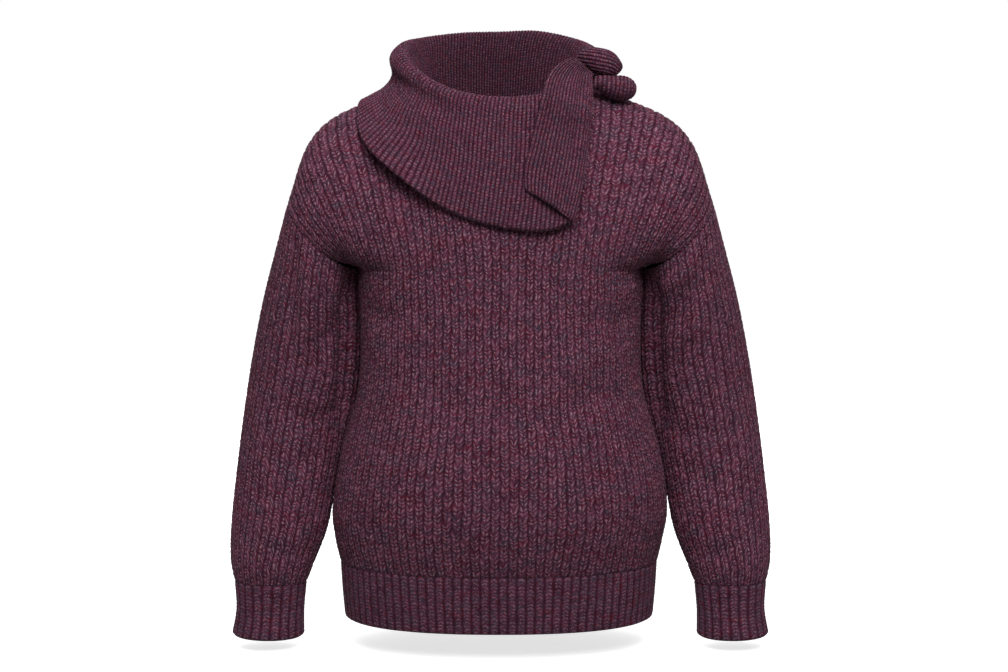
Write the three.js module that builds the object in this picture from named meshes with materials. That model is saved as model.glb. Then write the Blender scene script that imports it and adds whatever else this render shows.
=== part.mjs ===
import * as THREE from 'three';

// A pullover in thick rib knit with a tied collar, hollow, as it hangs on a wearer.
// Millimetres, +Z up, front facing -Y. The origin is at the middle of the neck,
// level with the points where the shoulder seams meet the neckline.

const SEAM_GAP = 0.3;
const ARMHOLE_GAP = 0.4;
const KNIT_WALL = 2.4;
const BODY_RIB = 2.0;
const BAND_WALL = 2.4;
const BAND_RIB = 1.8;
const COLLAR_RIB = 1.4;

const NECK_HALF_WIDTH = 95;
const NECK_FRONT_DEPTH = 92;
const NECK_BACK_DEPTH = 72;
const NECK_FRONT_DROP = 72;
const NECK_BACK_DROP = 16;
const NECK_SHARE = 0.32;

const PANEL_RIBS = 50;
const HEM_RIBS = 96;
const SLEEVE_RIBS = 34;
const CUFF_RIBS = 22;
const COLLAR_RIBS = 80;

// Body rings from the hem seam up to the armpits.
const BODY_RINGS = [
  { z: -566, side: 189, front: 122, back: 116 },
  { z: -538, side: 195, front: 131, back: 122 },
  { z: -502, side: 199, front: 138, back: 127 },
  { z: -440, side: 190, front: 137, back: 123 },
  { z: -362, side: 169, front: 129, back: 114 },
  { z: -290, side: 165, front: 126, back: 108 },
  { z: -215, side: 169, front: 124, back: 106 },
];
const RING_POWER = 2.3;
const YOKE_ROWS = 6;
const BODY_LEAN = -2;
const LEAN_START = -470;

// Shoulder line from the neckline out and down to the dropped seam.
const SHOULDER_LINE = [
  { x: 95, z: 0 },
  { x: 130, z: -11 },
  { x: 160, z: -22 },
  { x: 190, z: -35 },
  { x: 212, z: -51 },
  { x: 227, z: -71 },
  { x: 236, z: -93 },
  { x: 243, z: -116 },
  { x: 250, z: -138 },
];

// Sleeve rings below the armhole: outer and inner edge as seen from the front,
// half depth from front to back, and how far the ring's middle stands forward.
const SLEEVE_RINGS = [
  { outX: 267, outZ: -197, inX: 178, inZ: -252, depth: 72, forward: -4 },
  { outX: 282, outZ: -252, inX: 173, inZ: -294, depth: 68, forward: -9 },
  { outX: 296, outZ: -318, inX: 172, inZ: -345, depth: 63, forward: -13 },
  { outX: 308, outZ: -392, inX: 188, inZ: -410, depth: 59, forward: -12 },
  { outX: 316, outZ: -460, inX: 200, inZ: -470, depth: 56, forward: -3 },
  { outX: 321, outZ: -520, inX: 210, inZ: -526, depth: 52, forward: 11 },
  { outX: 321, outZ: -562, inX: 225, inZ: -566, depth: 46, forward: 21 },
  { outX: 316, outZ: -587, inX: 234, inZ: -589, depth: 37, forward: 27 },
];
const CUFF_RINGS = [
  { outX: 316, outZ: -587.3, inX: 234, inZ: -589.3, depth: 37, forward: 27 },
  { outX: 314, outZ: -621, inX: 237, inZ: -623, depth: 35, forward: 30 },
  { outX: 319, outZ: -652, inX: 237, inZ: -654, depth: 37, forward: 33 },
];
const HEM_RINGS = [
  { z: -566, side: 189, front: 122, back: 116 },
  { z: -600, side: 187, front: 120, back: 115 },
  { z: -634, side: 184, front: 117, back: 113 },
];

// Collar profile at each bearing round the neck: 0 is the front, 90 the wearer's left,
// -90 the wearer's right and -180 the back. Reach is from the neck's middle. The nine
// places run from the neckline seam up the stand, over the roll and down the fall.
const COLLAR_PROFILES = [
  {
    bearing: 90,
    reach: [88.3, 94, 104, 114, 124, 130, 138, 148, 156],
    height: [-6, 14, 28, 34, 28, 12, 0, -8, -15],
  },
  {
    bearing: 60,
    reach: [87.9, 94, 105, 115, 125, 129, 138, 150, 162],
    height: [-34, -12, 6, 13, 5, -18, -48, -74, -92],
  },
  {
    bearing: 30,
    reach: [87, 92, 100, 109, 119, 124, 131, 139, 147],
    height: [-64, -40, -22, -13, -23, -54, -92, -130, -163],
  },
  {
    bearing: 0,
    reach: [85.6, 90, 96, 104, 113, 119, 126, 131, 133.5],
    height: [-76, -48, -28, -19, -28, -58, -95, -132, -165],
  },
  {
    bearing: -30,
    reach: [87, 92, 100, 109, 119, 124, 130, 137, 142],
    height: [-64, -38, -19, -10, -20, -50, -85, -115, -140],
  },
  {
    bearing: -60,
    reach: [87.9, 95, 107, 117, 127, 131, 144, 160, 175],
    height: [-34, -8, 8, 15, 6, -18, -42, -60, -76],
  },
  {
    bearing: -90,
    reach: [88.3, 95, 105, 117, 129, 130, 139, 154, 168],
    height: [-6, 20, 40, 47, 35, 12, -3, -12, -19],
  },
  {
    bearing: -120,
    reach: [83.5, 89, 97, 108, 119, 124, 135, 148, 158],
    height: [-8, 28, 51, 60, 49, 20, -6, -24, -38],
  },
  {
    bearing: -150,
    reach: [71.3, 77, 84, 95, 107, 112, 118, 124, 129],
    height: [-16, 30, 58, 68, 56, 26, -6, -34, -56],
  },
  {
    bearing: -180,
    reach: [64.9, 71, 79, 90, 101, 106, 109, 112, 115],
    height: [-20, 30, 60, 70, 58, 28, -2, -34, -60],
  },
  {
    bearing: -210,
    reach: [71.3, 77, 85, 96, 108, 114, 119, 124, 129],
    height: [-16, 30, 59, 70, 59, 28, -4, -31, -53],
  },
  {
    bearing: -240,
    reach: [83.5, 90, 99, 110, 121, 126, 133, 143, 152],
    height: [-8, 26, 47, 57, 47, 21, -4, -22, -36],
  },
  {
    bearing: -270,
    reach: [88.3, 94, 104, 114, 124, 129, 137, 147, 156],
    height: [-6, 16, 32, 38, 30, 12, 0, -9, -17],
  },
];

// Bearings where the collar's two ends stand, at the same nine places.
const COLLAR_FRONT_END = [80, 72, 58, 46, 43, 41, 39, 36, 33];
const COLLAR_BACK_END = [-267, -266, -264, -262, -259, -256, -252, -248, -244];

// Front tie: its edges at each row, from the slanted tip up into the knot. Where
// the tie lies on the fall the depth is worked out from the fall and lift is the
// clearance from it; above the roll y gives the depth.
const TIE_ROWS = [
  { left: { x: 27, z: -122, lift: 5 }, right: { x: 84, z: -159, lift: 5 } },
  { left: { x: 27, z: -100, lift: 5 }, right: { x: 93, z: -124, lift: 5 } },
  { left: { x: 33, z: -74, lift: 6 }, right: { x: 98, z: -95, lift: 5 } },
  { left: { x: 40, z: -46, lift: 7 }, right: { x: 102, z: -64, lift: 5 } },
  { left: { x: 46, z: -20, y: -122 }, right: { x: 105, z: -33, y: -90 } },
  { left: { x: 53, z: 3, y: -108 }, right: { x: 107, z: -6, y: -68 } },
  { left: { x: 66, z: 20, y: -84 }, right: { x: 107, z: 8, y: -48 } },
  { left: { x: 79, z: 31, y: -58 }, right: { x: 108, z: 9, y: -44 } },
  { left: { x: 86, z: 36, y: -29 }, right: { x: 107, z: 8, y: -31.5 } },
];
const TIE_WALL = 3.6;
const TIE_RIBS = 11;

// Knot tubes: middle of the tube, half width across the shoulder's slope, half width up.
const LOOP_ROWS = [
  { x: 112, y: 27, z: 21.5, wide: 9, high: 9 },
  { x: 115, y: 9, z: 26, wide: 11, high: 12 },
  { x: 107, y: -8, z: 31, wide: 14, high: 12 },
  { x: 112, y: -20, z: 29, wide: 15, high: 13.2 },
  { x: 123, y: -26, z: 25, wide: 14.5, high: 14 },
  { x: 132, y: -25, z: 19, wide: 12.5, high: 11 },
  { x: 137.5, y: -23, z: 14, wide: 7, high: 6.5 },
];
const END_ROWS = [
  { x: 108, y: -42, z: 1, wide: 7, high: 6 },
  { x: 119, y: -42, z: 0, wide: 10, high: 8.5 },
  { x: 130, y: -38, z: -3.2, wide: 13.5, high: 11.5 },
  { x: 141, y: -31, z: -4.6, wide: 14.5, high: 13.5 },
  { x: 149, y: -23, z: -5.3, wide: 11.5, high: 11.5 },
  { x: 153, y: -18, z: -6, wide: 6, high: 6.5 },
];
const KNOT_WALL = 3.0;
const KNOT_RIB = 1.2;
const KNOT_SIDES = 14;

const vec = (x, y, z) => new THREE.Vector3(x, y, z);
const mix = (a, b, share) => a + (b - a) * share;
const clamp01 = (value) => Math.min(1, Math.max(0, value));
const ease = (value) => {
  const share = clamp01(value);
  return share * share * (3 - 2 * share);
};

const range = (count, from, to) =>
  Array.from({ length: count + 1 }, (_, k) => mix(from, to, k / count));

// Smooth value at a fractional place in a list of numbers.
function smoothAt(values, place) {
  const last = values.length - 1;
  const index = Math.min(last - 1, Math.max(0, Math.floor(place)));
  const t = place - index;
  const p1 = values[index];
  const p2 = values[index + 1];
  const p0 = index > 0 ? values[index - 1] : 2 * p1 - p2;
  const p3 = index + 2 <= last ? values[index + 2] : 2 * p2 - p1;
  const a = 2 * p1;
  const b = p2 - p0;
  const c = 2 * p0 - 5 * p1 + 4 * p2 - p3;
  const d = 3 * p1 - p0 - 3 * p2 + p3;
  return 0.5 * (a + b * t + c * t * t + d * t * t * t);
}

// Sideways lean of the body towards the hem.
const leanAt = (z) => BODY_LEAN * ease((LEAN_START - z) / 80);

const column = (rows, name, place) => smoothAt(rows.map((row) => row[name]), place);

// Points at equal distances along a curve given by a function of 0..1.
function evenPlaces(curve, steps) {
  const samples = 120;
  const lengths = [0];
  let before = curve(0);
  for (let i = 1; i <= samples; i += 1) {
    const here = curve(i / samples);
    lengths.push(lengths[i - 1] + here.distanceTo(before));
    before = here;
  }
  const places = [];
  let at = 0;
  for (let k = 0; k <= steps; k += 1) {
    const goal = (lengths[samples] * k) / steps;
    while (at < samples - 1 && lengths[at + 1] < goal) at += 1;
    const span = lengths[at + 1] - lengths[at];
    places.push((at + (goal - lengths[at]) / span) / samples);
  }
  return places;
}

const EVEN_STEPS = 60;

function evenlySpaced(curve) {
  const places = evenPlaces(curve, EVEN_STEPS);
  return (share) => {
    const spot = clamp01(share) * EVEN_STEPS;
    const index = Math.min(EVEN_STEPS - 1, Math.floor(spot));
    return curve(mix(places[index], places[index + 1], spot - index));
  };
}

// Quarter ring from the middle of the front or back round to the side seam.
function quarterRing(rings, place, face) {
  const side = column(rings, 'side', place);
  const depth = column(rings, face < 0 ? 'front' : 'back', place);
  const z = column(rings, 'z', place);
  return evenlySpaced((share) => {
    const angle = (share * Math.PI) / 2;
    const across = Math.max(0, Math.sin(angle)) ** (2 / RING_POWER);
    const deep = Math.max(0, Math.cos(angle)) ** (2 / RING_POWER);
    return vec(side * across, face * depth * deep, z);
  });
}

// Neckline point at a share of the quarter from the middle to the shoulder seam.
function necklinePoint(share, face) {
  const angle = (share * Math.PI) / 2;
  const depth = face < 0 ? NECK_FRONT_DEPTH : NECK_BACK_DEPTH;
  const lift = face < 0 ? -NECK_FRONT_DROP : -NECK_BACK_DROP;
  const fall = Math.max(0, Math.cos(angle)) ** 1.3;
  return vec(NECK_HALF_WIDTH * Math.sin(angle), face * depth * Math.cos(angle), lift * fall);
}

const shoulderPoint = evenlySpaced((share) => {
  const place = share * (SHOULDER_LINE.length - 1);
  return vec(column(SHOULDER_LINE, 'x', place), 0, column(SHOULDER_LINE, 'z', place));
});

// Half of a panel above the armpits: each rib runs from the armpit ring to the
// neckline or the shoulder seam, the last one along the armhole.
function yokePoint(armpitRing, half, rise, face) {
  const start = armpitRing(half);
  const onNeck = half < NECK_SHARE;
  const neckShare = clamp01(half / NECK_SHARE);
  const seamShare = clamp01((half - NECK_SHARE) / (1 - NECK_SHARE));
  const end = onNeck ? necklinePoint(neckShare, face) : shoulderPoint(seamShare);
  const turn = ease((half - 0.36) / 0.64);
  const climb = vec(10 * half, face * 4, mix(52, 66, half));
  const swing = vec(14, face * 92, -6);
  const leave = climb.lerp(swing, turn);
  const neckPull = vec(0, face * 20, face < 0 ? -42 : -30);
  const seamPull = vec(0, face * mix(58, 92, ease(seamShare)), 0);
  const drop = ease(seamShare) * 18;
  seamPull.add(vec(drop * 0.35, 0, -drop));
  const arrive = neckPull.lerp(seamPull, ease(neckShare));
  const curve = new THREE.CubicBezierCurve3(
    start, start.clone().add(leave), end.clone().add(arrive), end);
  return evenlySpaced((share) => curve.getPoint(clamp01(share)))(rise);
}

// Panel surface: across runs 0..1 from the wearer's right side seam to the left one,
// row counts body rings up to the armpits, then shares of the yoke.
function panelSurface(face) {
  const ringCount = BODY_RINGS.length - 1;
  const armpitRing = quarterRing(BODY_RINGS, ringCount, face);
  const cache = new Map();
  const ringAt = (row) => {
    if (!cache.has(row)) cache.set(row, quarterRing(BODY_RINGS, row, face));
    return cache.get(row);
  };
  return (across, row) => {
    const half = Math.abs(across * 2 - 1);
    const hand = across < 0.5 ? -1 : 1;
    const point = row <= ringCount
      ? ringAt(row)(half)
      : yokePoint(armpitRing, half, row - ringCount, face);
    return vec(point.x * hand + leanAt(point.z), point.y, point.z);
  };
}

// Closed ring surface of the sleeve: around runs 0..1 from the top or outer edge,
// forward round the front, the armpit edge at one half, and back.
function sleeveRing(ring, around) {
  const angle = around * 2 * Math.PI;
  const out = (1 + Math.cos(angle)) / 2;
  const swell = Math.sin(angle);
  return vec(
    mix(ring.inX, ring.outX, out),
    -swell * ring.depth - ring.forward,
    mix(ring.inZ, ring.outZ, out));
}

function ringRow(rings, place) {
  const names = ['outX', 'outZ', 'inX', 'inZ', 'depth', 'forward'];
  return Object.fromEntries(names.map((name) => [name, column(rings, name, place)]));
}

// Corners of a panel's armhole edge, from the armpit up to the shoulder tip, with
// the panel's outward direction at each.
function armholeCorners(face) {
  const ringCount = BODY_RINGS.length - 1;
  const surface = panelSurface(face);
  return range(YOKE_ROWS, 0, 1).map((rise) => {
    const row = ringCount + rise;
    const normal = outwardAt(surface, 1, row, [0, 1, false], [ringCount, ringCount + 1]);
    return { point: surface(1, row), normal: normal.multiplyScalar(face < 0 ? 1 : -1) };
  });
}

const armholes = {};

// Value between two corners of the armhole, around the opening from its outer tip.
function armholeAt(around, name) {
  const turn = ((around % 1) + 1) % 1;
  const corners = turn < 0.5 ? armholes.front : armholes.back;
  const place = Math.abs(1 - turn * 2) * YOKE_ROWS;
  const index = Math.min(YOKE_ROWS - 1, Math.floor(place));
  return corners[index][name].clone().lerp(corners[index + 1][name], place - index);
}

// Gives both walls at the armhole one edge direction, halfway between them. At the
// armpit the two walls part, so each keeps to its own side.
function joinArmholes() {
  armholes.front = armholeCorners(-1);
  armholes.back = armholeCorners(1);
  for (const [name, sign] of [['front', 1], ['back', -1]]) {
    armholes[name].forEach((corner, index) => {
      const around = 0.5 - (sign * index) / (2 * YOKE_ROWS);
      const sleeveSide = outwardAt(sleeveSurface, around, 0.5, [0, 1, true], [0, 1]);
      const shared = corner.normal.clone().add(sleeveSide).normalize();
      const bodySide = corner.normal.clone().add(vec(1, 0, 0)).normalize();
      corner.panelEdge = index === 0 ? bodySide : shared;
      corner.sleeveEdge = index === 0 ? sleeveSide : shared;
    });
  }
}

// Sleeve surface: row 0 is the armhole, the later rows the sleeve's rings.
function sleeveSurface(around, row) {
  const turn = ((around % 1) + 1) % 1;
  if (row >= 1) return sleeveRing(ringRow(SLEEVE_RINGS, row - 1), turn);
  const armpit = (0.5 - 0.5 * Math.cos(turn * 2 * Math.PI)) ** 6;
  const hole = armholeAt(turn, 'point').add(vec(ARMHOLE_GAP + 2.8 * armpit, 0, -ARMHOLE_GAP));
  return hole.lerp(sleeveRing(SLEEVE_RINGS[0], turn), row);
}

// Outward direction of a surface from its two run directions.
function outwardAt(surface, u, v, uRange, vRange) {
  const du = 0.004 * (uRange[1] - uRange[0]);
  const dv = 0.02;
  const u0 = uRange[2] ? u - du : Math.max(uRange[0], u - du);
  const u1 = uRange[2] ? u + du : Math.min(uRange[1], u + du);
  const v0 = Math.max(vRange[0], v - dv);
  const v1 = Math.min(vRange[1], v + dv);
  const alongU = surface(u1, v).sub(surface(u0, v));
  const alongV = surface(u, v1).sub(surface(u, v0));
  return alongU.cross(alongV).normalize();
}

// Triangle list that collects points.
class Skin {
  constructor() {
    this.positions = [];
    this.indices = [];
  }

  add(point) {
    this.positions.push(point.x, point.y, point.z);
    return this.positions.length / 3 - 1;
  }

  triangle(a, b, c) {
    this.indices.push(a, b, c);
  }

  // Faces between two rows of points, each row given from low to high u.
  strip(low, high) {
    let i = 0;
    let j = 0;
    const lastLow = low.length - 1;
    const lastHigh = high.length - 1;
    while (i < lastLow || j < lastHigh) {
      const lowNext = i < lastLow ? (i + 1) / lastLow : 2;
      const highNext = j < lastHigh ? (j + 1) / lastHigh : 2;
      if (lowNext <= highNext) {
        this.triangle(low[i], low[i + 1], high[j]);
        i += 1;
      } else {
        this.triangle(low[i], high[j + 1], high[j]);
        j += 1;
      }
    }
  }

  mesh(name, color) {
    const geometry = new THREE.BufferGeometry();
    geometry.setAttribute('position', new THREE.Float32BufferAttribute(this.positions, 3));
    geometry.setIndex(this.indices);
    geometry.computeVertexNormals();
    const material = new THREE.MeshStandardMaterial({ color, roughness: 0.95 });
    const mesh = new THREE.Mesh(geometry, material);
    mesh.name = name;
    return mesh;
  }
}

// A knitted wall: ribs raised on the outside of a surface, a plain inside, closed at
// its edges. u runs across the ribs and v along them.
function ribbedWall(options) {
  const { surface, ribs, rows, innerSteps, wall, rib, closed, fixNormal, side } = options;
  const skin = new Skin();
  const uRange = [0, 1, closed];
  const vRange = [rows[0], rows[rows.length - 1]];
  const steps = ribs * 2;
  const normalAt = (u, v) => {
    const normal = outwardAt(surface, u, v, uRange, vRange).multiplyScalar(side);
    return fixNormal ? fixNormal(u, v, normal) : normal;
  };
  const layer = (count, offset) => rows.map((v) => {
    const line = [];
    const total = closed ? count : count + 1;
    for (let k = 0; k < total; k += 1) {
      const u = k / count;
      line.push(skin.add(surface(u, v).addScaledVector(normalAt(u, v), offset(k))));
    }
    if (closed) line.push(line[0]);
    return line;
  });
  const outer = layer(steps, (k) => (k % 2 === 1 ? rib : 0));
  const inner = layer(innerSteps, () => -wall);
  for (let r = 0; r + 1 < rows.length; r += 1) {
    skin.strip(outer[r], outer[r + 1]);
    skin.strip(inner[r + 1], inner[r]);
  }
  skin.strip(inner[0], outer[0]);
  skin.strip(outer[rows.length - 1], inner[rows.length - 1]);
  if (!closed) {
    const edge = (grid, at) => grid.map((line) => line[at]);
    skin.strip(edge(outer, 0), edge(inner, 0));
    skin.strip(edge(inner, innerSteps), edge(outer, steps));
  }
  if (side < 0) skin.indices.reverse();
  return skin;
}

function panel(name, face, color) {
  const ringCount = BODY_RINGS.length - 1;
  const base = panelSurface(face);
  const sideGap = (SEAM_GAP / 2) * face;
  const surface = (across, row) => base(across, row).add(vec(0, sideGap, 0));
  const yokeRows = range(YOKE_ROWS, ringCount, ringCount + 1).slice(1);
  const rows = [...range(ringCount, 0, ringCount), ...yokeRows];
  const fixNormal = (u, v, normal) => {
    const half = Math.abs(u * 2 - 1);
    if (half === 1 && v >= ringCount) {
      const corners = face < 0 ? armholes.front : armholes.back;
      const edge = corners[Math.round((v - ringCount) * YOKE_ROWS)].panelEdge;
      return vec(edge.x * (u === 0 ? -1 : 1), edge.y, edge.z);
    }
    if (v <= ringCount) normal.setZ(0);
    if (v === rows[rows.length - 1]) normal.y *= clamp01((NECK_SHARE - half) / 0.1);
    if (half === 1 && v <= ringCount) normal.setY(0);
    return normal.normalize();
  };
  return ribbedWall({
    surface, rows, fixNormal, ribs: PANEL_RIBS, innerSteps: 24, wall: KNIT_WALL,
    rib: BODY_RIB, closed: false, side: face < 0 ? 1 : -1,
  }).mesh(name, color);
}

function hemBand(name, color) {
  const halves = HEM_RINGS.map((_, row) => [-1, 1].map((face) => quarterRing(HEM_RINGS, row, face)));
  const surface = (around, row) => {
    const turn = (((around % 1) + 1) % 1) * 4;
    const quarter = Math.floor(turn);
    const share = turn - quarter;
    const low = Math.min(HEM_RINGS.length - 2, Math.floor(row));
    const pick = (index) => {
      const [front, back] = halves[index];
      if (quarter === 0) return front(share);
      if (quarter === 1) return back(1 - share);
      const point = quarter === 2 ? back(share) : front(1 - share);
      return vec(-point.x, point.y, point.z);
    };
    const point = pick(low).lerp(pick(low + 1), row - low);
    return point.add(vec(leanAt(point.z), 0, -SEAM_GAP));
  };
  const fixNormal = (u, v, normal) => normal.setZ(0).normalize();
  return ribbedWall({
    surface, fixNormal, rows: range(2, 0, 2), ribs: HEM_RIBS, innerSteps: 36,
    wall: BAND_WALL, rib: BAND_RIB, closed: true, side: -1,
  }).mesh(name, color);
}

const mirrored = (surface, hand) => (u, v) => {
  const point = surface(u, v);
  return vec(point.x * hand, point.y, point.z);
};

// Turns a direction into the plane of a ring, so that two rings meet edge to edge.
function intoRingPlane(ring, hand, normal) {
  const across = vec((ring.outX - ring.inX) * hand, 0, ring.outZ - ring.inZ).normalize();
  const square = vec(-across.z, 0, across.x);
  return normal.addScaledVector(square, -normal.dot(square)).normalize();
}

function sleeve(name, hand, color) {
  const lastRow = SLEEVE_RINGS.length;
  const fixNormal = (around, row, normal) => {
    if (row === lastRow) return intoRingPlane(SLEEVE_RINGS[lastRow - 1], hand, normal);
    if (row > 0) return normal;
    const seam = armholeAt(around, 'sleeveEdge');
    return vec(seam.x * hand, seam.y, seam.z);
  };
  return ribbedWall({
    surface: mirrored(sleeveSurface, hand), fixNormal, rows: range(lastRow, 0, lastRow),
    ribs: SLEEVE_RIBS, innerSteps: 24, wall: KNIT_WALL, rib: BODY_RIB, closed: true, side: hand,
  }).mesh(name, color);
}

function cuff(name, hand, color) {
  const ringSurface = (around, row) => sleeveRing(ringRow(CUFF_RINGS, row), around);
  const fixNormal = (around, row, normal) =>
    row === 0 ? intoRingPlane(CUFF_RINGS[0], hand, normal) : normal;
  return ribbedWall({
    surface: mirrored(ringSurface, hand), fixNormal, rows: range(2, 0, 2), ribs: CUFF_RIBS,
    innerSteps: 14, wall: BAND_WALL, rib: BAND_RIB, closed: true, side: hand,
  }).mesh(name, color);
}

// Collar surface: around runs 0..1 from the front end to the back end, row counts
// the places of the profile from the neckline seam to the fall's edge.
function collarProfile(bearing, row, name) {
  const place = (COLLAR_PROFILES[0].bearing - bearing) / 30;
  const stations = COLLAR_PROFILES[0][name].map((_, station) =>
    smoothAt(COLLAR_PROFILES.map((entry) => entry[name][station]), place));
  return smoothAt(stations, row);
}

function collarSurface(around, row) {
  const bearing = mix(smoothAt(COLLAR_FRONT_END, row), smoothAt(COLLAR_BACK_END, row), around);
  const angle = (bearing * Math.PI) / 180;
  const reach = collarProfile(bearing, row, 'reach');
  const height = collarProfile(bearing, row, 'height');
  return vec(reach * Math.sin(angle), -reach * Math.cos(angle), height);
}

function collar(name, color) {
  const rows = range(8, 0, 8);
  return ribbedWall({
    surface: collarSurface, rows, ribs: COLLAR_RIBS, innerSteps: 32,
    wall: BAND_WALL, rib: COLLAR_RIB, closed: false, side: -1,
  }).mesh(name, color);
}

// How far the fall's outside stands from the neck's middle at a bearing and height.
function fallReach(bearing, z) {
  let low = 3;
  let high = COLLAR_PROFILES[0].reach.length - 1;
  for (let k = 0; k < 24; k += 1) {
    const row = (low + high) / 2;
    if (collarProfile(bearing, row, 'height') > z) low = row;
    else high = row;
  }
  return collarProfile(bearing, low, 'reach');
}

function tieEdgePoint({ x, z, lift, y }) {
  if (y !== undefined) return vec(x, y, z);
  let depth = 120;
  for (let k = 0; k < 6; k += 1) {
    const bearing = (Math.atan2(x, depth) * 180) / Math.PI;
    const reach = fallReach(bearing, z) + COLLAR_RIB + lift;
    depth = Math.sqrt(reach * reach - x * x);
  }
  return vec(x, -depth, z);
}

function frontTie(name, color) {
  const edges = ['left', 'right'].map((hand) => TIE_ROWS.map((row) => tieEdgePoint(row[hand])));
  const edgeAt = (points, place) =>
    vec(...['x', 'y', 'z'].map((axis) => smoothAt(points.map((point) => point[axis]), place)));
  const surface = (across, row) => {
    const [left, right] = edges.map((points) => edgeAt(points, row));
    const swell = Math.sin(across * Math.PI) * 6;
    return left.lerp(right, across).add(vec(swell * 0.4, -swell * 0.9, 0));
  };
  const lastRow = TIE_ROWS.length - 1;
  return ribbedWall({
    surface, rows: range(lastRow, 0, lastRow), ribs: TIE_RIBS, innerSteps: 8,
    wall: TIE_WALL, rib: COLLAR_RIB, closed: false, side: 1,
  }).mesh(name, color);
}

// Rolled piece of the knot: a tube open at both ends, ribbed across its length.
function knotTube(name, rows, ribCount, color) {
  const lastRow = rows.length - 1;
  const centre = (place) => vec(...['x', 'y', 'z'].map((axis) => column(rows, axis, place)));
  const surface = (along, around) => {
    const place = along * lastRow;
    const behind = centre(Math.max(0, place - 0.05));
    const ahead = centre(Math.min(lastRow, place + 0.05)).sub(behind).normalize();
    const level = vec(-ahead.y, ahead.x, 0).normalize();
    const up = ahead.clone().cross(level).normalize();
    const wide = column(rows, 'wide', place);
    const high = column(rows, 'high', place);
    return centre(place)
      .addScaledVector(level, wide * Math.cos(around))
      .addScaledVector(up, high * Math.sin(around));
  };
  const skin = new Skin();
  const steps = ribCount * 2;
  const ring = (along, shrink) => {
    const line = [];
    for (let k = 0; k < KNOT_SIDES; k += 1) {
      const around = (k / KNOT_SIDES) * 2 * Math.PI;
      const middle = centre(along * lastRow);
      const point = surface(along, around);
      const inward = middle.clone().sub(point).normalize();
      line.push(skin.add(point.addScaledVector(inward, shrink)));
    }
    return [...line, line[0]];
  };
  const outer = [];
  for (let k = 0; k <= steps; k += 1) outer.push(ring(k / steps, k % 2 === 1 ? -KNOT_RIB : 0));
  const inner = [];
  for (let k = 0; k <= lastRow; k += 1) inner.push(ring(k / lastRow, KNOT_WALL));
  for (let k = 0; k < steps; k += 1) skin.strip(outer[k], outer[k + 1]);
  for (let k = 0; k < lastRow; k += 1) skin.strip(inner[k + 1], inner[k]);
  skin.strip(inner[0], outer[0]);
  skin.strip(outer[steps], inner[lastRow]);
  return skin.mesh(name, color);
}

const PLUM = 0x5a3846;
const ROSE_PLUM = 0x62404e;

joinArmholes();

const sweater = new THREE.Group();
sweater.name = 'sweater';
sweater.add(panel('front_panel', -1, PLUM));
sweater.add(panel('back_panel', 1, PLUM));
sweater.add(hemBand('hem_band', PLUM));
sweater.add(sleeve('left_sleeve', 1, PLUM));
sweater.add(sleeve('right_sleeve', -1, PLUM));
sweater.add(cuff('left_cuff', 1, PLUM));
sweater.add(cuff('right_cuff', -1, PLUM));
sweater.add(collar('collar', ROSE_PLUM));
sweater.add(frontTie('front_tie', ROSE_PLUM));
sweater.add(knotTube('knot_loop', LOOP_ROWS, 14, ROSE_PLUM));
sweater.add(knotTube('knot_end', END_ROWS, 7, ROSE_PLUM));

export default sweater;
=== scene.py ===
"""A pullover in thick marled rib knit with a tied collar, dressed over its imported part.

Each piece is a thin knitted shell on the form of its solid: the ribs, the slanted legs of the
stitches, the rounded edges and the creases are worked out on a grid of two parameters.
Lengths are in millimetres until a mesh is made, which is in metres.
"""
import logging
import math
from dataclasses import dataclass, field
from enum import Enum
from typing import Any, Sequence

import bpy
import numpy as np
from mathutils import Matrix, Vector


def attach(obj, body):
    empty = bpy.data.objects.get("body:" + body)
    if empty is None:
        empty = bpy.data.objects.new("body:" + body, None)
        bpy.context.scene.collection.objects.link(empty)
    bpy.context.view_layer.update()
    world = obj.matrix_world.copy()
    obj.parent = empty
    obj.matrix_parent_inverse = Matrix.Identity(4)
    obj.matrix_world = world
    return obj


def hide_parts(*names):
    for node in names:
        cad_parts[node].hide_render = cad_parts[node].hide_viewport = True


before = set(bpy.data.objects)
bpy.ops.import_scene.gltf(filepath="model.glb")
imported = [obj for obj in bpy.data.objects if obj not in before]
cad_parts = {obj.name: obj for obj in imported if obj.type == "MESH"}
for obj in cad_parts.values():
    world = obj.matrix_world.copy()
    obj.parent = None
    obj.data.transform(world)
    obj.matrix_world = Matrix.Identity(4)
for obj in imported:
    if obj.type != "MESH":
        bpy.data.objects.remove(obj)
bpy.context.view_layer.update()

LOG = logging.getLogger("sweater")
METRES = 0.001
KNIT_ATTRIBUTE = "knit"


# Curves through tables

def ease(value: np.ndarray) -> np.ndarray:
    """Smooth step: 3t^2 - 2t^3 with t held between 0 and 1."""
    t = np.clip(value, 0.0, 1.0)
    return t * t * (3.0 - 2.0 * t)


def through(values: Sequence[Any], place: Any) -> np.ndarray:
    """Catmull-Rom curve through the rows of a table.

    Args:
        values: numbers, or rows of numbers, one at each whole place.
        place: places to read, of any shape.

    Returns:
        The smooth values there, with the table's own trailing shape.
    """
    table = np.asarray(values, float)
    where = np.asarray(place, float)
    index = np.clip(np.floor(where).astype(int), 0, len(table) - 2)
    t = (where - index).reshape(where.shape + (1,) * (table.ndim - 1))
    ends = [2 * table[:1] - table[1:2], table, 2 * table[-1:] - table[-2:-1]]
    padded = np.concatenate(ends)
    p0, p1, p2, p3 = (padded[index + k] for k in range(4))
    bend = 2 * p0 - 5 * p1 + 4 * p2 - p3
    twist = 3 * p1 - p0 - 3 * p2 + p3
    return 0.5 * (2 * p1 + (p2 - p0) * t + bend * t**2 + twist * t**3)


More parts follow.
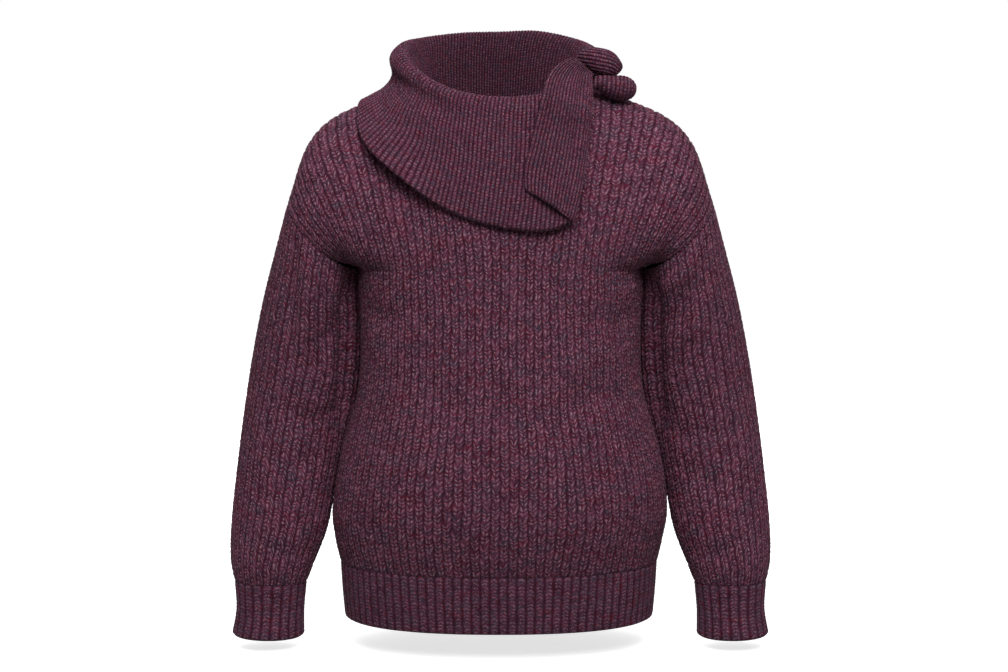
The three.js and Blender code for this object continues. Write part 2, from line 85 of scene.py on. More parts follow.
def evenly(curves: np.ndarray, shares: np.ndarray) -> np.ndarray:
    """Points at equal shares of each curve's own length.

    Args:
        curves: dense points, shape (curves, samples, 3).
        shares: shares of the length from 0 to 1.

    Returns:
        Points, shape (curves, shares, 3).
    """
    steps = np.linalg.norm(np.diff(curves, axis=1), axis=2)
    length = np.pad(np.cumsum(steps, axis=1), ((0, 0), (1, 0)))
    length /= length[:, -1:]
    points = np.empty((len(curves), len(shares), 3))
    for curve, reached, out in zip(curves, length, points):
        for axis in range(3):
            out[:, axis] = np.interp(shares, reached, curve[:, axis])
    return points


def stacked(x: Any, y: Any, z: Any) -> np.ndarray:
    """Joins three coordinate arrays of like shape into points."""
    return np.stack(np.broadcast_arrays(x, y, z), axis=-1).astype(float)


def unit(vectors: np.ndarray) -> np.ndarray:
    """Vectors over their own length."""
    return vectors / np.maximum(np.linalg.norm(vectors, axis=-1, keepdims=True), 1e-9)


def walked(points: np.ndarray, axis: int) -> np.ndarray:
    """Length along one axis of a grid of points, 0 at its start.

    Args:
        points: grid of points, two grid axes first.
        axis: 0 along the rows' order, 1 across the columns.

    Returns:
        Lengths, one for each point.
    """
    steps = np.linalg.norm(np.diff(points, axis=axis), axis=2)
    return np.pad(steps.cumsum(axis), ((1, 0), (0, 0)) if axis == 0 else ((0, 0), (1, 0)))


def softened(grid: np.ndarray, axis: int, wraps: bool, passes: int = 1) -> np.ndarray:
    """Averages neighbours 1:2:1 along one axis of a grid, keeping open ends.

    Args:
        grid: values, two grid axes first.
        axis: the axis to smooth along.
        wraps: whether that axis closes on itself.
        passes: how often.

    Returns:
        The smoothed grid.
    """
    for _ in range(passes):
        before, after = np.roll(grid, 1, axis), np.roll(grid, -1, axis)
        mixed = 0.25 * before + 0.5 * grid + 0.25 * after
        if not wraps:
            edge = [slice(None)] * grid.ndim
            for end in (0, -1):
                edge[axis] = end
                mixed[tuple(edge)] = grid[tuple(edge)]
        grid = mixed
    return grid


# The body's form, shared by panels, hem and sleeves

@dataclass(frozen=True)
class BodyForm:
    """Rings of the body, neckline and shoulder line, in millimetres."""

    height: tuple[float, ...] = (-566, -538, -502, -440, -362, -290, -215)
    side: tuple[float, ...] = (189, 195, 199, 190, 169, 165, 169)
    front: tuple[float, ...] = (122, 131, 138, 137, 129, 126, 124)
    back: tuple[float, ...] = (116, 122, 127, 123, 114, 108, 106)
    shoulder_x: tuple[float, ...] = (95, 130, 160, 190, 212, 227, 236, 243, 250)
    shoulder_z: tuple[float, ...] = (0, -11, -22, -35, -51, -71, -93, -116, -138)
    ring_power: float = 2.3
    neck_half_width: float = 95
    neck_depth_front: float = 92
    neck_depth_back: float = 72
    neck_drop_front: float = 72
    neck_drop_back: float = 16
    neck_share: float = 0.32
    lean: float = -2
    lean_start: float = -470
    curve_samples: int = 181

    @property
    def armpit_row(self) -> int:
        """Row of the ring at the armpits."""
        return len(self.height) - 1

    def leaned(self, points: np.ndarray) -> np.ndarray:
        """Adds the body's small sideways lean towards the hem."""
        points[..., 0] += self.lean * ease((self.lean_start - points[..., 2]) / 80)
        return points

    def quarter(self, rows: np.ndarray, face: int, half: np.ndarray) -> np.ndarray:
        """Quarter rings: |x/side|^p + |y/depth|^p = 1, at even steps of their length.

        Args:
            rows: places along the table of rings.
            face: -1 for the front, 1 for the back.
            half: shares of the quarter from the middle to the side seam.

        Returns:
            Points, shape (rows, half, 3).
        """
        turn = np.linspace(0, math.pi / 2, self.curve_samples)
        depth = through(self.front if face < 0 else self.back, rows)[:, None]
        side = through(self.side, rows)[:, None]
        across = side * np.sin(turn) ** (2 / self.ring_power)
        deep = face * depth * np.maximum(np.cos(turn), 0) ** (2 / self.ring_power)
        rings = stacked(across, deep, through(self.height, rows)[:, None])
        return evenly(rings, half)

    def neckline(self, share: np.ndarray, face: int) -> np.ndarray:
        """Half ellipse of the neck: it drops as the 1.3th power of the cosine.

        Args:
            share: shares of the half neckline, 0 at its middle.
            face: -1 for the front, 1 for the back.

        Returns:
            Points, shape (share, 3).
        """
        turn = np.clip(share, 0, 1) * math.pi / 2
        depth = self.neck_depth_front if face < 0 else self.neck_depth_back
        drop = self.neck_drop_front if face < 0 else self.neck_drop_back
        fall = np.maximum(np.cos(turn), 0) ** 1.3
        return stacked(
            self.neck_half_width * np.sin(turn), face * depth * np.cos(turn), -drop * fall)

    def shoulder(self, share: np.ndarray) -> np.ndarray:
        """Shoulder line from the neck to the dropped seam, at even steps.

        Args:
            share: shares of the line, 0 at the neck.

        Returns:
            Points, shape (share, 3).
        """
        place = np.linspace(0, len(self.shoulder_x) - 1, self.curve_samples)
        line = stacked(through(self.shoulder_x, place), 0.0, through(self.shoulder_z, place))
        return evenly(line[None], np.clip(share, 0, 1))[0]

    def yoke(self, half: np.ndarray, rise: np.ndarray, face: int) -> np.ndarray:
        """Above the armpits each rib is a cubic Bezier curve up to the neck or shoulder.

        Args:
            half: shares from the middle to the side, one a rib.
            rise: shares of the way up.
            face: -1 for the front, 1 for the back.

        Returns:
            Points, shape (rise, half, 3).
        """
        start = self.quarter(np.array([float(self.armpit_row)]), face, half)[0]
        neck = np.clip(half / self.neck_share, 0, 1)[:, None]
        seam = np.clip((half - self.neck_share) / (1 - self.neck_share), 0, 1)[:, None]
        on_neck = half[:, None] < self.neck_share
        end = np.where(on_neck, self.neckline(neck[:, 0], face), self.shoulder(seam[:, 0]))
        wide = half[:, None]
        climb = np.hstack([10 * wide, np.full_like(wide, face * 4), 52 + 14 * wide])
        swing = np.array([14.0, face * 92, -6.0])
        leave = climb + (swing - climb) * ease((wide - 0.36) / 0.64)
        neck_pull = np.array([0.0, face * 20, -42.0 if face < 0 else -30.0])
        drop = 18 * ease(seam)
        seam_pull = np.hstack([0.35 * drop, face * (58 + 34 * ease(seam)), -drop])
        arrive = neck_pull + (seam_pull - neck_pull) * ease(neck)
        t = np.linspace(0, 1, self.curve_samples)[None, :, None]
        knots = [p[:, None, :] for p in (start, start + leave, end + arrive, end)]
        weights = ((1 - t) ** 3, 3 * (1 - t) ** 2 * t, 3 * (1 - t) * t**2, t**3)
        curves = sum(weight * knot for weight, knot in zip(weights, knots))
        return evenly(curves, rise).transpose(1, 0, 2)

    def armhole(self, around: np.ndarray) -> np.ndarray:
        """Armhole edge on the wearer's left: 0 at its outer tip, then down the front.

        Args:
            around: turns round the armhole.

        Returns:
            Points, shape (around, 3).
        """
        turn = np.mod(around, 1.0)
        rise = np.abs(1 - 2 * turn)
        order = np.argsort(rise)
        edge = np.empty((2, len(turn), 3))
        for side, face in enumerate((-1, 1)):
            edge[side, order] = self.yoke(np.array([1.0]), rise[order], face)[:, 0]
        return np.where((turn < 0.5)[:, None], edge[0], edge[1])


BODY = BodyForm()


@dataclass(frozen=True)
class TubeForm:
    """Slanted rings of a sleeve or cuff, on the wearer's left."""

    outer_x: tuple[float, ...]
    outer_z: tuple[float, ...]
    inner_x: tuple[float, ...]
    inner_z: tuple[float, ...]
    depth: tuple[float, ...]
    forward: tuple[float, ...]

    def ring(self, around: np.ndarray, rows: np.ndarray) -> np.ndarray:
        """Ellipses: out = (1 + cos)/2 between the inner and outer edge, depth by sine.

        Args:
            around: turns, 0 at the outer edge, then forward.
            rows: places along the tables.

        Returns:
            Points, shape (rows, around, 3).
        """
        turn = 2 * math.pi * around[None, :]
        out = (1 + np.cos(turn)) / 2

        def read(table: tuple[float, ...]) -> np.ndarray:
            """Smooth value of one of the tables at the rows."""
            return through(table, rows)[:, None]

        x = read(self.inner_x) + (read(self.outer_x) - read(self.inner_x)) * out
        z = read(self.inner_z) + (read(self.outer_z) - read(self.inner_z)) * out
        return stacked(x, -np.sin(turn) * read(self.depth) - read(self.forward), z)


SLEEVE_FORM = TubeForm(
    outer_x=(267, 282, 296, 308, 316, 321, 321, 316),
    outer_z=(-197, -252, -318, -392, -460, -520, -562, -587),
    inner_x=(178, 173, 172, 188, 200, 210, 225, 234),
    inner_z=(-252, -294, -345, -410, -470, -526, -566, -589),
    depth=(72, 68, 63, 59, 56, 52, 46, 37),
    forward=(-4, -9, -13, -12, -3, 11, 21, 27),
)
CUFF_FORM = TubeForm(
    outer_x=(316, 314, 319),
    outer_z=(-587.3, -621, -652),
    inner_x=(234, 237, 237),
    inner_z=(-589.3, -623, -654),
    depth=(37, 35, 37),
    forward=(27, 30, 33),
)


# Knit

@dataclass(frozen=True)
class Gauge:
    """Stitch sizes of one knit, in millimetres, then shares.

    The cleft is how far the two legs of a stitch lie apart, and the beads are how much each
    stitch stands out along its rib.
    """

    row: float
    rib: float
    leg: float
    slant: float
    wander: float
    cleft: float
    beads: float


BODY_GAUGE = Gauge(row=5.6, rib=2.2, leg=1.3, slant=0.85, wander=2.2, cleft=0.42, beads=0.75)
BAND_GAUGE = Gauge(row=4.2, rib=2.0, leg=0.5, slant=0.6, wander=0.9, cleft=0.3, beads=0.5)
COLLAR_GAUGE = Gauge(row=3.4, rib=1.5, leg=0.35, slant=0.25, wander=1.3, cleft=0.12, beads=0.5)


def wandering(wale: np.ndarray, row: np.ndarray, amount: float) -> tuple[np.ndarray, np.ndarray]:
    """Makes stitches uneven: sums of sines push the counts a little to and fro.

    Args:
        wale: rib count across.
        row: row count along.
        amount: 1 for a loose hand, 0 for a perfect knit.

    Returns:
        The two counts, pushed.
    """
    slow = np.sin(0.61 * wale + 0.23 * row) + np.sin(0.37 * wale - 0.31 * row + 1.7)
    quick = np.sin(2.9 * wale + 1.3 * row + 0.4) + np.sin(1.7 * wale - 2.3 * row + 2.1)
    return (wale + amount * (0.022 * slow + 0.018 * quick),
            row + amount * (0.09 * np.sin(0.83 * wale + 0.41 * row) + 0.10 * quick))


def knit_relief(wale: np.ndarray, row: np.ndarray, gauge: Gauge) -> np.ndarray:
    """Height of the knit over its base.

    Across a rib the two legs stand side by side: lobe = (1 - ((q - c)/(1 - c))^2)^0.6, where q
    is 0 on the rib's middle and 1 in the valley and c is the cleft. Along it each stitch swells
    and thins as the sine of its row, and its legs climb by the slant from the middle outwards.

    Args:
        wale: rib count across, a rib's middle at every half.
        row: row count along.
        gauge: sizes of this knit.

    Returns:
        Heights in millimetres, 0 in the valleys.
    """
    beside = np.abs(np.mod(wale, 1.0) - 0.5) * 2
    lobe = np.clip(1 - ((beside - gauge.cleft) / (1 - gauge.cleft)) ** 2, 0, 1) ** 0.6
    swell = np.sin(math.pi * np.mod(row - gauge.slant * beside, 1.0))
    return lobe * (gauge.rib + gauge.leg * (swell - 0.6))


class Rim(Enum):
    """How an edge of a piece is finished."""

    FREE = "rounded over, as a bound-off edge"
    SEAM = "drawn in where it is sewn to its neighbour"
    JOINED = "runs on round the tube"


@dataclass(frozen=True)
class Crease:
    """A soft trough (depth under 0) or ridge (over 0) laid on a piece.

    Its path runs through shares (across, up) of the piece, its width is in millimetres, and
    it fades to both ends, a little uneven on the way.
    """

    path: tuple[tuple[float, float], ...]
    depth: float
    width: float
    samples: int = 22

    def lift(self, points: np.ndarray, across: np.ndarray, up: np.ndarray) -> np.ndarray:
        """Depth times exp(-(distance/width)^2) times sin(pi t)^0.7 along the path.

        Args:
            points: base grid, shape (rows, columns, 3).
            across: share across of each column.
            up: share up of each row.

        Returns:
            Heights, shape (rows, columns).
        """
        t = np.linspace(0, 1, self.samples)
        spots = through(np.array(self.path, float), t * (len(self.path) - 1))
        column = np.interp(spots[:, 0], across, np.arange(len(across))).round().astype(int)
        line = np.interp(spots[:, 1], up, np.arange(len(up))).round().astype(int)
        strength = np.sin(math.pi * np.clip(t, 0.03, 0.97)) ** 0.7
        strength *= 1 + 0.18 * np.sin(7.3 * t + 3.1 * self.width)
        lift = np.zeros(points.shape[:2])
        for row, col, share in zip(line, column, strength):
            away = np.linalg.norm(points - points[row, col], axis=2)
            lift = np.maximum(lift, share * np.exp(-((away / self.width) ** 2)))
        return self.depth * lift


# Colours and finishes

def linear(hex_code: str) -> tuple[float, float, float, float]:
    """Turns an sRGB hex colour such as "5a3846" into opaque linear values.

    Args:
        hex_code: six hex digits.

    Returns:
        Red, green, blue and alpha.
    """
    parts = [int(hex_code[k:k + 2], 16) / 255 for k in (0, 2, 4)]
    turned = [c / 12.92 if c <= 0.04045 else ((c + 0.055) / 1.055) ** 2.4 for c in parts]
    return (*turned, 1.0)


def add_node(tree: bpy.types.NodeTree, kind: str, inputs: dict[Any, Any] | None = None,
             **settings: Any) -> bpy.types.Node:
    """Adds a node, sets its properties, and fills or links its inputs.

    Args:
        tree: the node tree.
        kind: Blender's name for the node type.
        inputs: socket name or number to a value or to an output socket.
        **settings: properties of the node.

    Returns:
        The node.
    """
    node = tree.nodes.new(kind)
    for name, value in settings.items():
        setattr(node, name, value)
    for key, value in (inputs or {}).items():
        if isinstance(value, bpy.types.NodeSocket):
            tree.links.new(value, node.inputs[key])
        else:
            node.inputs[key].default_value = value
    return node


def linked(name: str, data: bpy.types.ID) -> bpy.types.Object:
    """Makes an object of the data and links it to the scene.

    Args:
        name: name of the object.
        data: its mesh, camera or light.

    Returns:
        The object.
    """
    thing = bpy.data.objects.new(name, data)
    bpy.context.scene.collection.objects.link(thing)
    return thing


@dataclass(frozen=True)
class MarledWool:
    """Wool blend spun from plies of several dyes, knitted in ribs.

    Matte and a little hairy: the plies show as flecks of rose, crimson and slate on plum, the tops
    of the legs carry a flecked painted highlight, and the valleys hold painted shade, near black.
    """

    name: str
    gauge: Gauge
    plum: str = "502136"
    rose: str = "784057"
    crimson: str = "701b31"
    slate: str = "463c4e"
    # Colour of the painted shade in the valleys between ribs and inside the cloth.
    valley: str = "16060c"
    # Colour of the painted highlight on the tops of the legs.
    painted_highlight_colour: str = "b4929f"
    # Share of painted shade darkening the valleys.
    depth: float = 0.7
    roughness: float = 0.9
    sheen: float = 0.03
    sheen_tint: str = "c9a9b4"
    ply_length: float = 0.002
    fuzz_length: float = 0.0008
    bump_height: float = 0.0012

    def build(self) -> bpy.types.Material:
        """Makes the material.

        Returns:
            A material that reads the wale and row counts of the piece.
        """
        material = bpy.data.materials.new(self.name)
        material.use_nodes = True
        tree = material.node_tree
        tree.nodes.clear()

        def math_node(operation: str, *values: Any, clamp: bool = False) -> bpy.types.NodeSocket:
            """One arithmetic node on the given values.

            Args:
                operation: name of the operation.
                *values: numbers or sockets, in order.
                clamp: whether the result is held between 0 and 1.

            Returns:
                The result.
            """
            node = add_node(tree, "ShaderNodeMath", dict(enumerate(values)),
                            operation=operation, use_clamp=clamp)
            return node.outputs[0]

        def blended(share: Any, under: Any, over: Any) -> bpy.types.NodeSocket:
            """One colour over another by a share.

            Args:
                share: how much of the upper colour shows.
                under: the lower colour.
                over: the upper colour.

            Returns:
                The mixed colour.
            """
            node = add_node(tree, "ShaderNodeMix", {0: share, 6: under, 7: over},
                            data_type="RGBA")
            return node.outputs[2]

        def stepped(value: Any, low: float, high: float) -> bpy.types.NodeSocket:
            """Smooth 0 to 1 as value goes from low to high.

            Args:
                value: what is measured.
                low: where the step starts.
                high: where it ends.

            Returns:
                The share.
            """
            node = add_node(tree, "ShaderNodeMapRange",
                            {"Value": value, "From Min": low, "From Max": high},
                            interpolation_type="SMOOTHSTEP")
            return node.outputs["Result"]

        def dyed(shift: tuple[float, ...], scale: tuple[float, ...]) -> bpy.types.NodeSocket:
            """Patches of dyed yarn, in counts: they lie along the rows, wider than high.

            Args:
                shift: where in the noise to look.
                scale: cells a rib and a row.

            Returns:
                Noise around 0.5.
            """
            moved = add_node(tree, "ShaderNodeMapping", {
                "Vector": counts, "Location": shift, "Scale": scale})
            return add_node(tree, "ShaderNodeTexNoise", {
                "Vector": moved.outputs[0], "Scale": 1.0, "Detail": 4.0, "Roughness": 0.8,
                "Lacunarity": 2.3}).outputs[0]

        def flecked(length: float, roughness: float) -> bpy.types.NodeSocket:
            """Flecks as fine as a length in metres, in object coordinates.

            Args:
                length: size of a fleck.
                roughness: share of the finer noise.

            Returns:
                Noise around 0.5.
            """
            return add_node(tree, "ShaderNodeTexNoise", {
                "Vector": place, "Scale": 1 / length, "Detail": 2.0,
                "Roughness": roughness}).outputs[0]

        counts = add_node(tree, "ShaderNodeAttribute", attribute_name=KNIT_ATTRIBUTE,
                          attribute_type="GEOMETRY").outputs["Vector"]
        parts = add_node(tree, "ShaderNodeSeparateXYZ", {0: counts})
        wale, row, outside = parts.outputs[0], parts.outputs[1], parts.outputs[2]

        within = math_node("FRACT", wale)
        off_middle = math_node("ABSOLUTE", math_node("SUBTRACT", within, 0.5))
        beside = math_node("MULTIPLY", off_middle, 2.0)
        climbed = math_node("SUBTRACT", row, math_node("MULTIPLY", beside, self.gauge.slant))
        swell = math_node("SINE", math_node("MULTIPLY", math_node("FRACT", climbed), math.pi))
        off_leg = math_node("DIVIDE", math_node("SUBTRACT", beside, self.gauge.cleft),
                            1 - self.gauge.cleft)
        lobe = math_node("SUBTRACT", 1.0, math_node("MULTIPLY", off_leg, off_leg), clamp=True)
        height = math_node("MULTIPLY", lobe, math_node(
            "MULTIPLY_ADD", swell, self.gauge.beads, 1 - self.gauge.beads))

        # Every leg is its own bit of yarn, so it gets its own shade.
        leg_cell = add_node(tree, "ShaderNodeCombineXYZ", {
            0: math_node("FLOOR", math_node("MULTIPLY", wale, 2.0)),
            1: math_node("FLOOR", climbed)}).outputs[0]
        shade = add_node(tree, "ShaderNodeTexWhiteNoise", {"Vector": leg_cell},
                         noise_dimensions="2D")
        first = dyed((0.0, 0.0, 0.0), (0.26, 0.34, 0.0))
        second = dyed((31.7, 12.3, 0.0), (0.3, 0.38, 0.0))
        # Plies twist about every 2 mm, so the flecks of a ply are that long. Fuzz is finer.
        place = add_node(tree, "ShaderNodeTexCoord").outputs["Object"]
        ply = flecked(self.ply_length, 0.65)
        fuzz = flecked(self.fuzz_length, 0.7)

        colour = blended(stepped(shade.outputs["Value"], 0.1, 0.9),
                         linear(self.plum), linear(self.rose))
        off_ply = math_node("SUBTRACT", ply, 0.5)
        reds = math_node("ADD", first, math_node("MULTIPLY", off_ply, 1.3))
        blues = math_node("ADD", second, math_node("MULTIPLY", off_ply, -1.3))
        red_share = math_node("MULTIPLY", stepped(reds, 0.52, 0.68), 0.7)
        blue_share = math_node("MULTIPLY", stepped(blues, 0.50, 0.66), 0.75)
        colour = blended(red_share, colour, linear(self.crimson))
        colour = blended(blue_share, colour, linear(self.slate))
        # Painted highlight: the tops of the legs, flecked by the ply noise, are lightened towards a
        # pale highlight colour.
        painted_highlight_share = math_node("MULTIPLY", stepped(height, 0.55, 1.0), stepped(ply, 0.42, 0.62))
        colour = blended(math_node("MULTIPLY", painted_highlight_share, 0.7), colour, linear(self.painted_highlight_colour))
        # Painted shade: the valleys between the legs and ribs are darkened towards near black.
        painted_valley_shade = math_node("SUBTRACT", 1.0, stepped(height, 0.0, 0.55))
        colour = blended(math_node("MULTIPLY", painted_valley_shade, self.depth), colour, linear(self.valley))

        # Painted shade: inside the neck and on the inside of the cloth the wool is darkened towards
        # the valley colour, by the openness the mesh carries.
        painted_inside_shade = math_node("MULTIPLY_ADD", outside, -0.45, 0.45)
        colour = blended(painted_inside_shade, colour, linear(self.valley))

        relief = math_node("MULTIPLY_ADD", math_node("ADD", ply, fuzz), 0.25, height)
        bump = add_node(tree, "ShaderNodeBump", {
            "Strength": 0.7, "Distance": self.bump_height, "Height": relief})
        wool = add_node(tree, "ShaderNodeBsdfPrincipled", {
            "Base Color": colour, "Roughness": self.roughness, "Sheen Weight": self.sheen,
            "Sheen Roughness": 0.45, "Sheen Tint": linear(self.sheen_tint),
            "Specular IOR Level": 0.12, "Normal": bump.outputs[0]})
        add_node(tree, "ShaderNodeOutputMaterial", {"Surface": wool.outputs[0]})
        return material


# Knitted pieces

@dataclass
class KnitPiece:
    """A knitted shell: an outside with ribs and stitches, and a plainer inside.

    Columns run across the ribs and rows along them. A free edge rounds over within edge_round.
    At a seam the knit starts at seam_share of the way to its full height and is drawn in by
    seam_dip at most. Lengths are in millimetres, the cut and its area in metres.
    """

    name: str
    node: str
    slot: str
    gauge: Gauge
    ribs: int
    step: float
    wall: float
    flat: tuple[float, float]
    area: float
    rests_on: tuple[str, ...]
    held: str = "draped"
    closed: bool = False
    outward: int = 1
    per_rib: int = 6
    columns_inside: int = 6
    rows_inside: int = 4
    rims: tuple[Rim, Rim, Rim, Rim] = (Rim.SEAM, Rim.SEAM, Rim.SEAM, Rim.SEAM)
    creases: tuple[Crease, ...] = ()
    edge_round: float = 3.5
    seam_share: float = 0.62
    seam_reach: float = 9.0
    seam_dip: float = 0.3

    def row_span(self) -> tuple[float, float]:
        """First and last row of the form."""
        raise NotImplementedError

    def form(self, across: np.ndarray, rows: np.ndarray) -> np.ndarray:
        """Base surface: points of shape (rows, across, 3)."""
        raise NotImplementedError

    def directed(self, normals: np.ndarray, rows: np.ndarray, across: np.ndarray) -> np.ndarray:
        """Turns edge directions where two pieces have to meet flush."""
        return normals

    def counts(self, wale: np.ndarray, length: np.ndarray) -> tuple[np.ndarray, np.ndarray]:
        """Wale and row counts of the grid from the rib place and the length along it."""
        return wandering(wale, length / self.gauge.row, self.gauge.wander)

    def openness(self, rows: np.ndarray) -> np.ndarray:
        """How open to the light each row of the outside lies, from 0 to 1."""
        return np.ones(len(rows))

    def even_rows(self) -> np.ndarray:
        """Row places that lie the piece's step apart along its middle.

        Returns:
            Places, one more than a multiple of the inside's row step.
        """
        low, high = self.row_span()
        places = np.linspace(low, high, 161)
        probe = self.form(np.linspace(0, 1, 9)[1:-1], places)
        lengths = np.linalg.norm(np.diff(probe, axis=0), axis=2).mean(axis=1)
        reached = np.pad(np.cumsum(lengths), (1, 0))
        count = max(2, round(reached[-1] / self.step / self.rows_inside)) * self.rows_inside
        return np.interp(np.linspace(0, reached[-1], count + 1), reached, places)

    def normals(self, points: np.ndarray) -> np.ndarray:
        """Outward directions from differences along the grid, softened.

        Args:
            points: base grid, shape (rows, columns, 3).

        Returns:
            Unit vectors of the same shape.
        """
        if self.closed:
            across = np.roll(points, -1, 1) - np.roll(points, 1, 1)
        else:
            across = np.gradient(points, axis=1)
        along = np.gradient(points, axis=0)
        raw = unit(np.cross(across, along)) * self.outward
        raw = softened(raw, 1, self.closed, 3)
        return unit(softened(raw, 0, False, 2))

    def rim_share(self, points: np.ndarray) -> tuple[np.ndarray, np.ndarray]:
        """How near each point is to the piece's edges.

        Args:
            points: base grid, shape (rows, columns, 3).

        Returns:
            Share 0 to 1 of full height at rounded edges, and the same at sewn edges.
        """
        rounded = np.ones(points.shape[:2])
        sewn = np.ones(points.shape[:2])
        along, across = walked(points, 0), walked(points, 1)
        ways = (along, along[-1:] - along, across, across[:, -1:] - across)
        for rim, away in zip(self.rims, ways):
            if rim is Rim.FREE:
                rounded *= np.sqrt(1 - (1 - np.clip(away / self.edge_round, 0, 1)) ** 2)
            elif rim is Rim.SEAM:
                sewn *= ease(self.seam_share + away / self.seam_reach)
        return rounded, sewn

    def build(self, material: bpy.types.Material) -> bpy.types.Object:
        """Args:
            material: the knit's finish.

        Returns:
            The finished object.
        """
        columns = self.ribs * self.per_rib
        across = np.arange(columns + (0 if self.closed else 1)) / columns
        rows = self.even_rows()
        base = self.form(across, rows)
        normals = self.directed(self.normals(base), rows, across)
        length = walked(base, 0)
        up = np.linspace(0, 1, len(rows))
        folds = np.zeros(base.shape[:2])
        for crease in self.creases:
            folds += crease.lift(base, across, up)
        wale_edges = np.arange(columns + 1) / columns * self.ribs
        wrapped = np.concatenate([length, length[:, :1]], axis=1) if self.closed else length
        wale, row = self.counts(np.broadcast_to(wale_edges, wrapped.shape), wrapped)
        if self.closed:
            wale[:, -1] = wale[:, 0] + self.ribs
            row[:, -1] = row[:, 0]
        relief = knit_relief(wale, row, self.gauge)[:, :len(across)]
        rounded, sewn = self.rim_share(base)
        lifted = folds + relief * sewn - self.seam_dip * (1 - sewn)
        outside = (lifted + self.wall / 2) * rounded - self.wall / 2
        inside = folds - self.wall / 2 - (self.wall / 2) * rounded
        skin = ShellMesh(self.name, self.closed, self.columns_inside, self.rows_inside)
        skin.lay(base + normals * outside[..., None], base + normals * inside[..., None], wale, row,
                 self.openness(rows))
        piece = skin.finish(material)
        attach(piece, "root")
        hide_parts(self.node)
        LOG.info("%s: %d faces", self.name, len(piece.data.polygons))
        return piece


@dataclass
class ShellMesh:
    """Closed mesh of a fine outside, a coarser inside and the rims between them."""

    name: str
    closed: bool
    columns_inside: int
    rows_inside: int
    points: list[np.ndarray] = field(default_factory=list)
    faces: list[np.ndarray] = field(default_factory=list)
    values: list[np.ndarray] = field(default_factory=list)

    def quads(self, index: np.ndarray, held: np.ndarray, outer: bool) -> None:
        """Adds the four-sided faces of one layer.

        Args:
            index: vertex numbers, shape (rows, columns), the last column wrapped if closed.
            held: knit counts and openness at the same places.
            outer: the outside runs one way round and the inside the other.
        """
        corners = [(slice(0, -1), slice(0, -1)), (slice(0, -1), slice(1, None)),
                   (slice(1, None), slice(1, None)), (slice(1, None), slice(0, -1))]
        if not outer:
            corners.reverse()
        self.faces.append(np.stack([index[c].ravel() for c in corners], axis=1))
        self.values.append(np.stack([held[c].reshape(-1, 3) for c in corners], axis=1))

    def rim(self, fine: np.ndarray, coarse: np.ndarray, held: np.ndarray, step: int,
            turned: bool) -> None:
        """Adds the faces between an edge of the outside and the same edge of the inside.

        Args:
            fine: vertex numbers along the outside's edge.
            coarse: vertex numbers along the inside's edge.
            held: knit counts along the outside's edge.
            step: how many fine places make a coarse one.
            turned: whether the faces run the other way round.
        """
        spans = len(coarse) - 1
        start = np.arange(spans) * step
        line = start[:, None] + np.arange(step + 1)[None]
        back = np.stack([coarse[1:], coarse[:-1]], axis=1)
        faces = np.hstack([fine[line], back])
        ends = [held[start + step][:, None], held[start][:, None]]
        kept = np.concatenate([held[line], *ends], axis=1)
        if not turned:
            faces, kept = faces[:, ::-1], kept[:, ::-1]
        self.faces.append(faces)
        self.values.append(kept)

    def lay(self, outer: np.ndarray, inner: np.ndarray, wale: np.ndarray, row: np.ndarray,
            openness: np.ndarray) -> None:
        """Numbers both layers and adds their faces.

        Args:
            outer: outside points, shape (rows, columns, 3).
            inner: inside points on the same grid, of which a part is used.
            wale: rib counts, with the wrapped column if closed.
            row: row counts, the same.
            openness: how open to the light each row of the outside lies.
        """
        sparse = inner[::self.rows_inside, ::self.columns_inside]
        self.points = [outer.reshape(-1, 3), sparse.reshape(-1, 3)]
        index = np.arange(outer.shape[0] * outer.shape[1]).reshape(outer.shape[:2])
        below = index.size + np.arange(sparse.shape[0] * sparse.shape[1]).reshape(sparse.shape[:2])
        if self.closed:
            index = np.hstack([index, index[:, :1]])
            below = np.hstack([below, below[:, :1]])
        held = np.stack([wale, row, np.broadcast_to(openness[:, None], wale.shape)], axis=-1)
        hidden = held[::self.rows_inside, ::self.columns_inside].copy()
        # The inside gets openness 0, so the material paints it in full shade.
        hidden[..., 2] = 0.0
        self.quads(index, held, True)
        self.quads(below, hidden, False)
        self.rim(index[0], below[0], held[0], self.columns_inside, False)
        self.rim(index[-1], below[-1], held[-1], self.columns_inside, True)
        if not self.closed:
            self.rim(index[:, 0], below[:, 0], held[:, 0], self.rows_inside, True)
            self.rim(index[:, -1], below[:, -1], held[:, -1], self.rows_inside, False)

    def finish(self, material: bpy.types.Material) -> bpy.types.Object:
        """Puts the arrays into a mesh, faces outwards, and shades it smooth.

        Args:
            material: the material of every face.

        Returns:
            The object, at the origin and in metres.
        """
        points = np.concatenate(self.points) * METRES
        fans = [points[faces] for faces in self.faces]
        volume = sum(np.einsum("ij,ij->", np.cross(fan[:, k], fan[:, k + 1]), fan[:, 0])
                     for fan in fans for k in range(1, fan.shape[1] - 1))
        order = slice(None) if volume > 0 else slice(None, None, -1)
        loops = np.concatenate([faces[:, order].ravel() for faces in self.faces])
        values = np.concatenate([held[:, order].reshape(-1, 3) for held in self.values])
        sizes = np.concatenate([np.full(len(faces), faces.shape[1]) for faces in self.faces])
        mesh = bpy.data.meshes.new(self.name)
        mesh.vertices.add(len(points))
        mesh.vertices.foreach_set("co", points.ravel())
        mesh.loops.add(len(loops))
        mesh.loops.foreach_set("vertex_index", loops.astype(np.int32))
        mesh.polygons.add(len(sizes))
        starts = np.pad(sizes.cumsum(), (1, 0))[:-1]
        mesh.polygons.foreach_set("loop_start", starts.astype(np.int32))
        mesh.update(calc_edges=True)
        knit = mesh.attributes.new(KNIT_ATTRIBUTE, "FLOAT_VECTOR", "CORNER")
        knit.data.foreach_set("vector", values.ravel())
        mesh.polygons.foreach_set("use_smooth", np.ones(len(sizes), bool))
        mesh.materials.append(material)
        return linked(self.name, mesh)


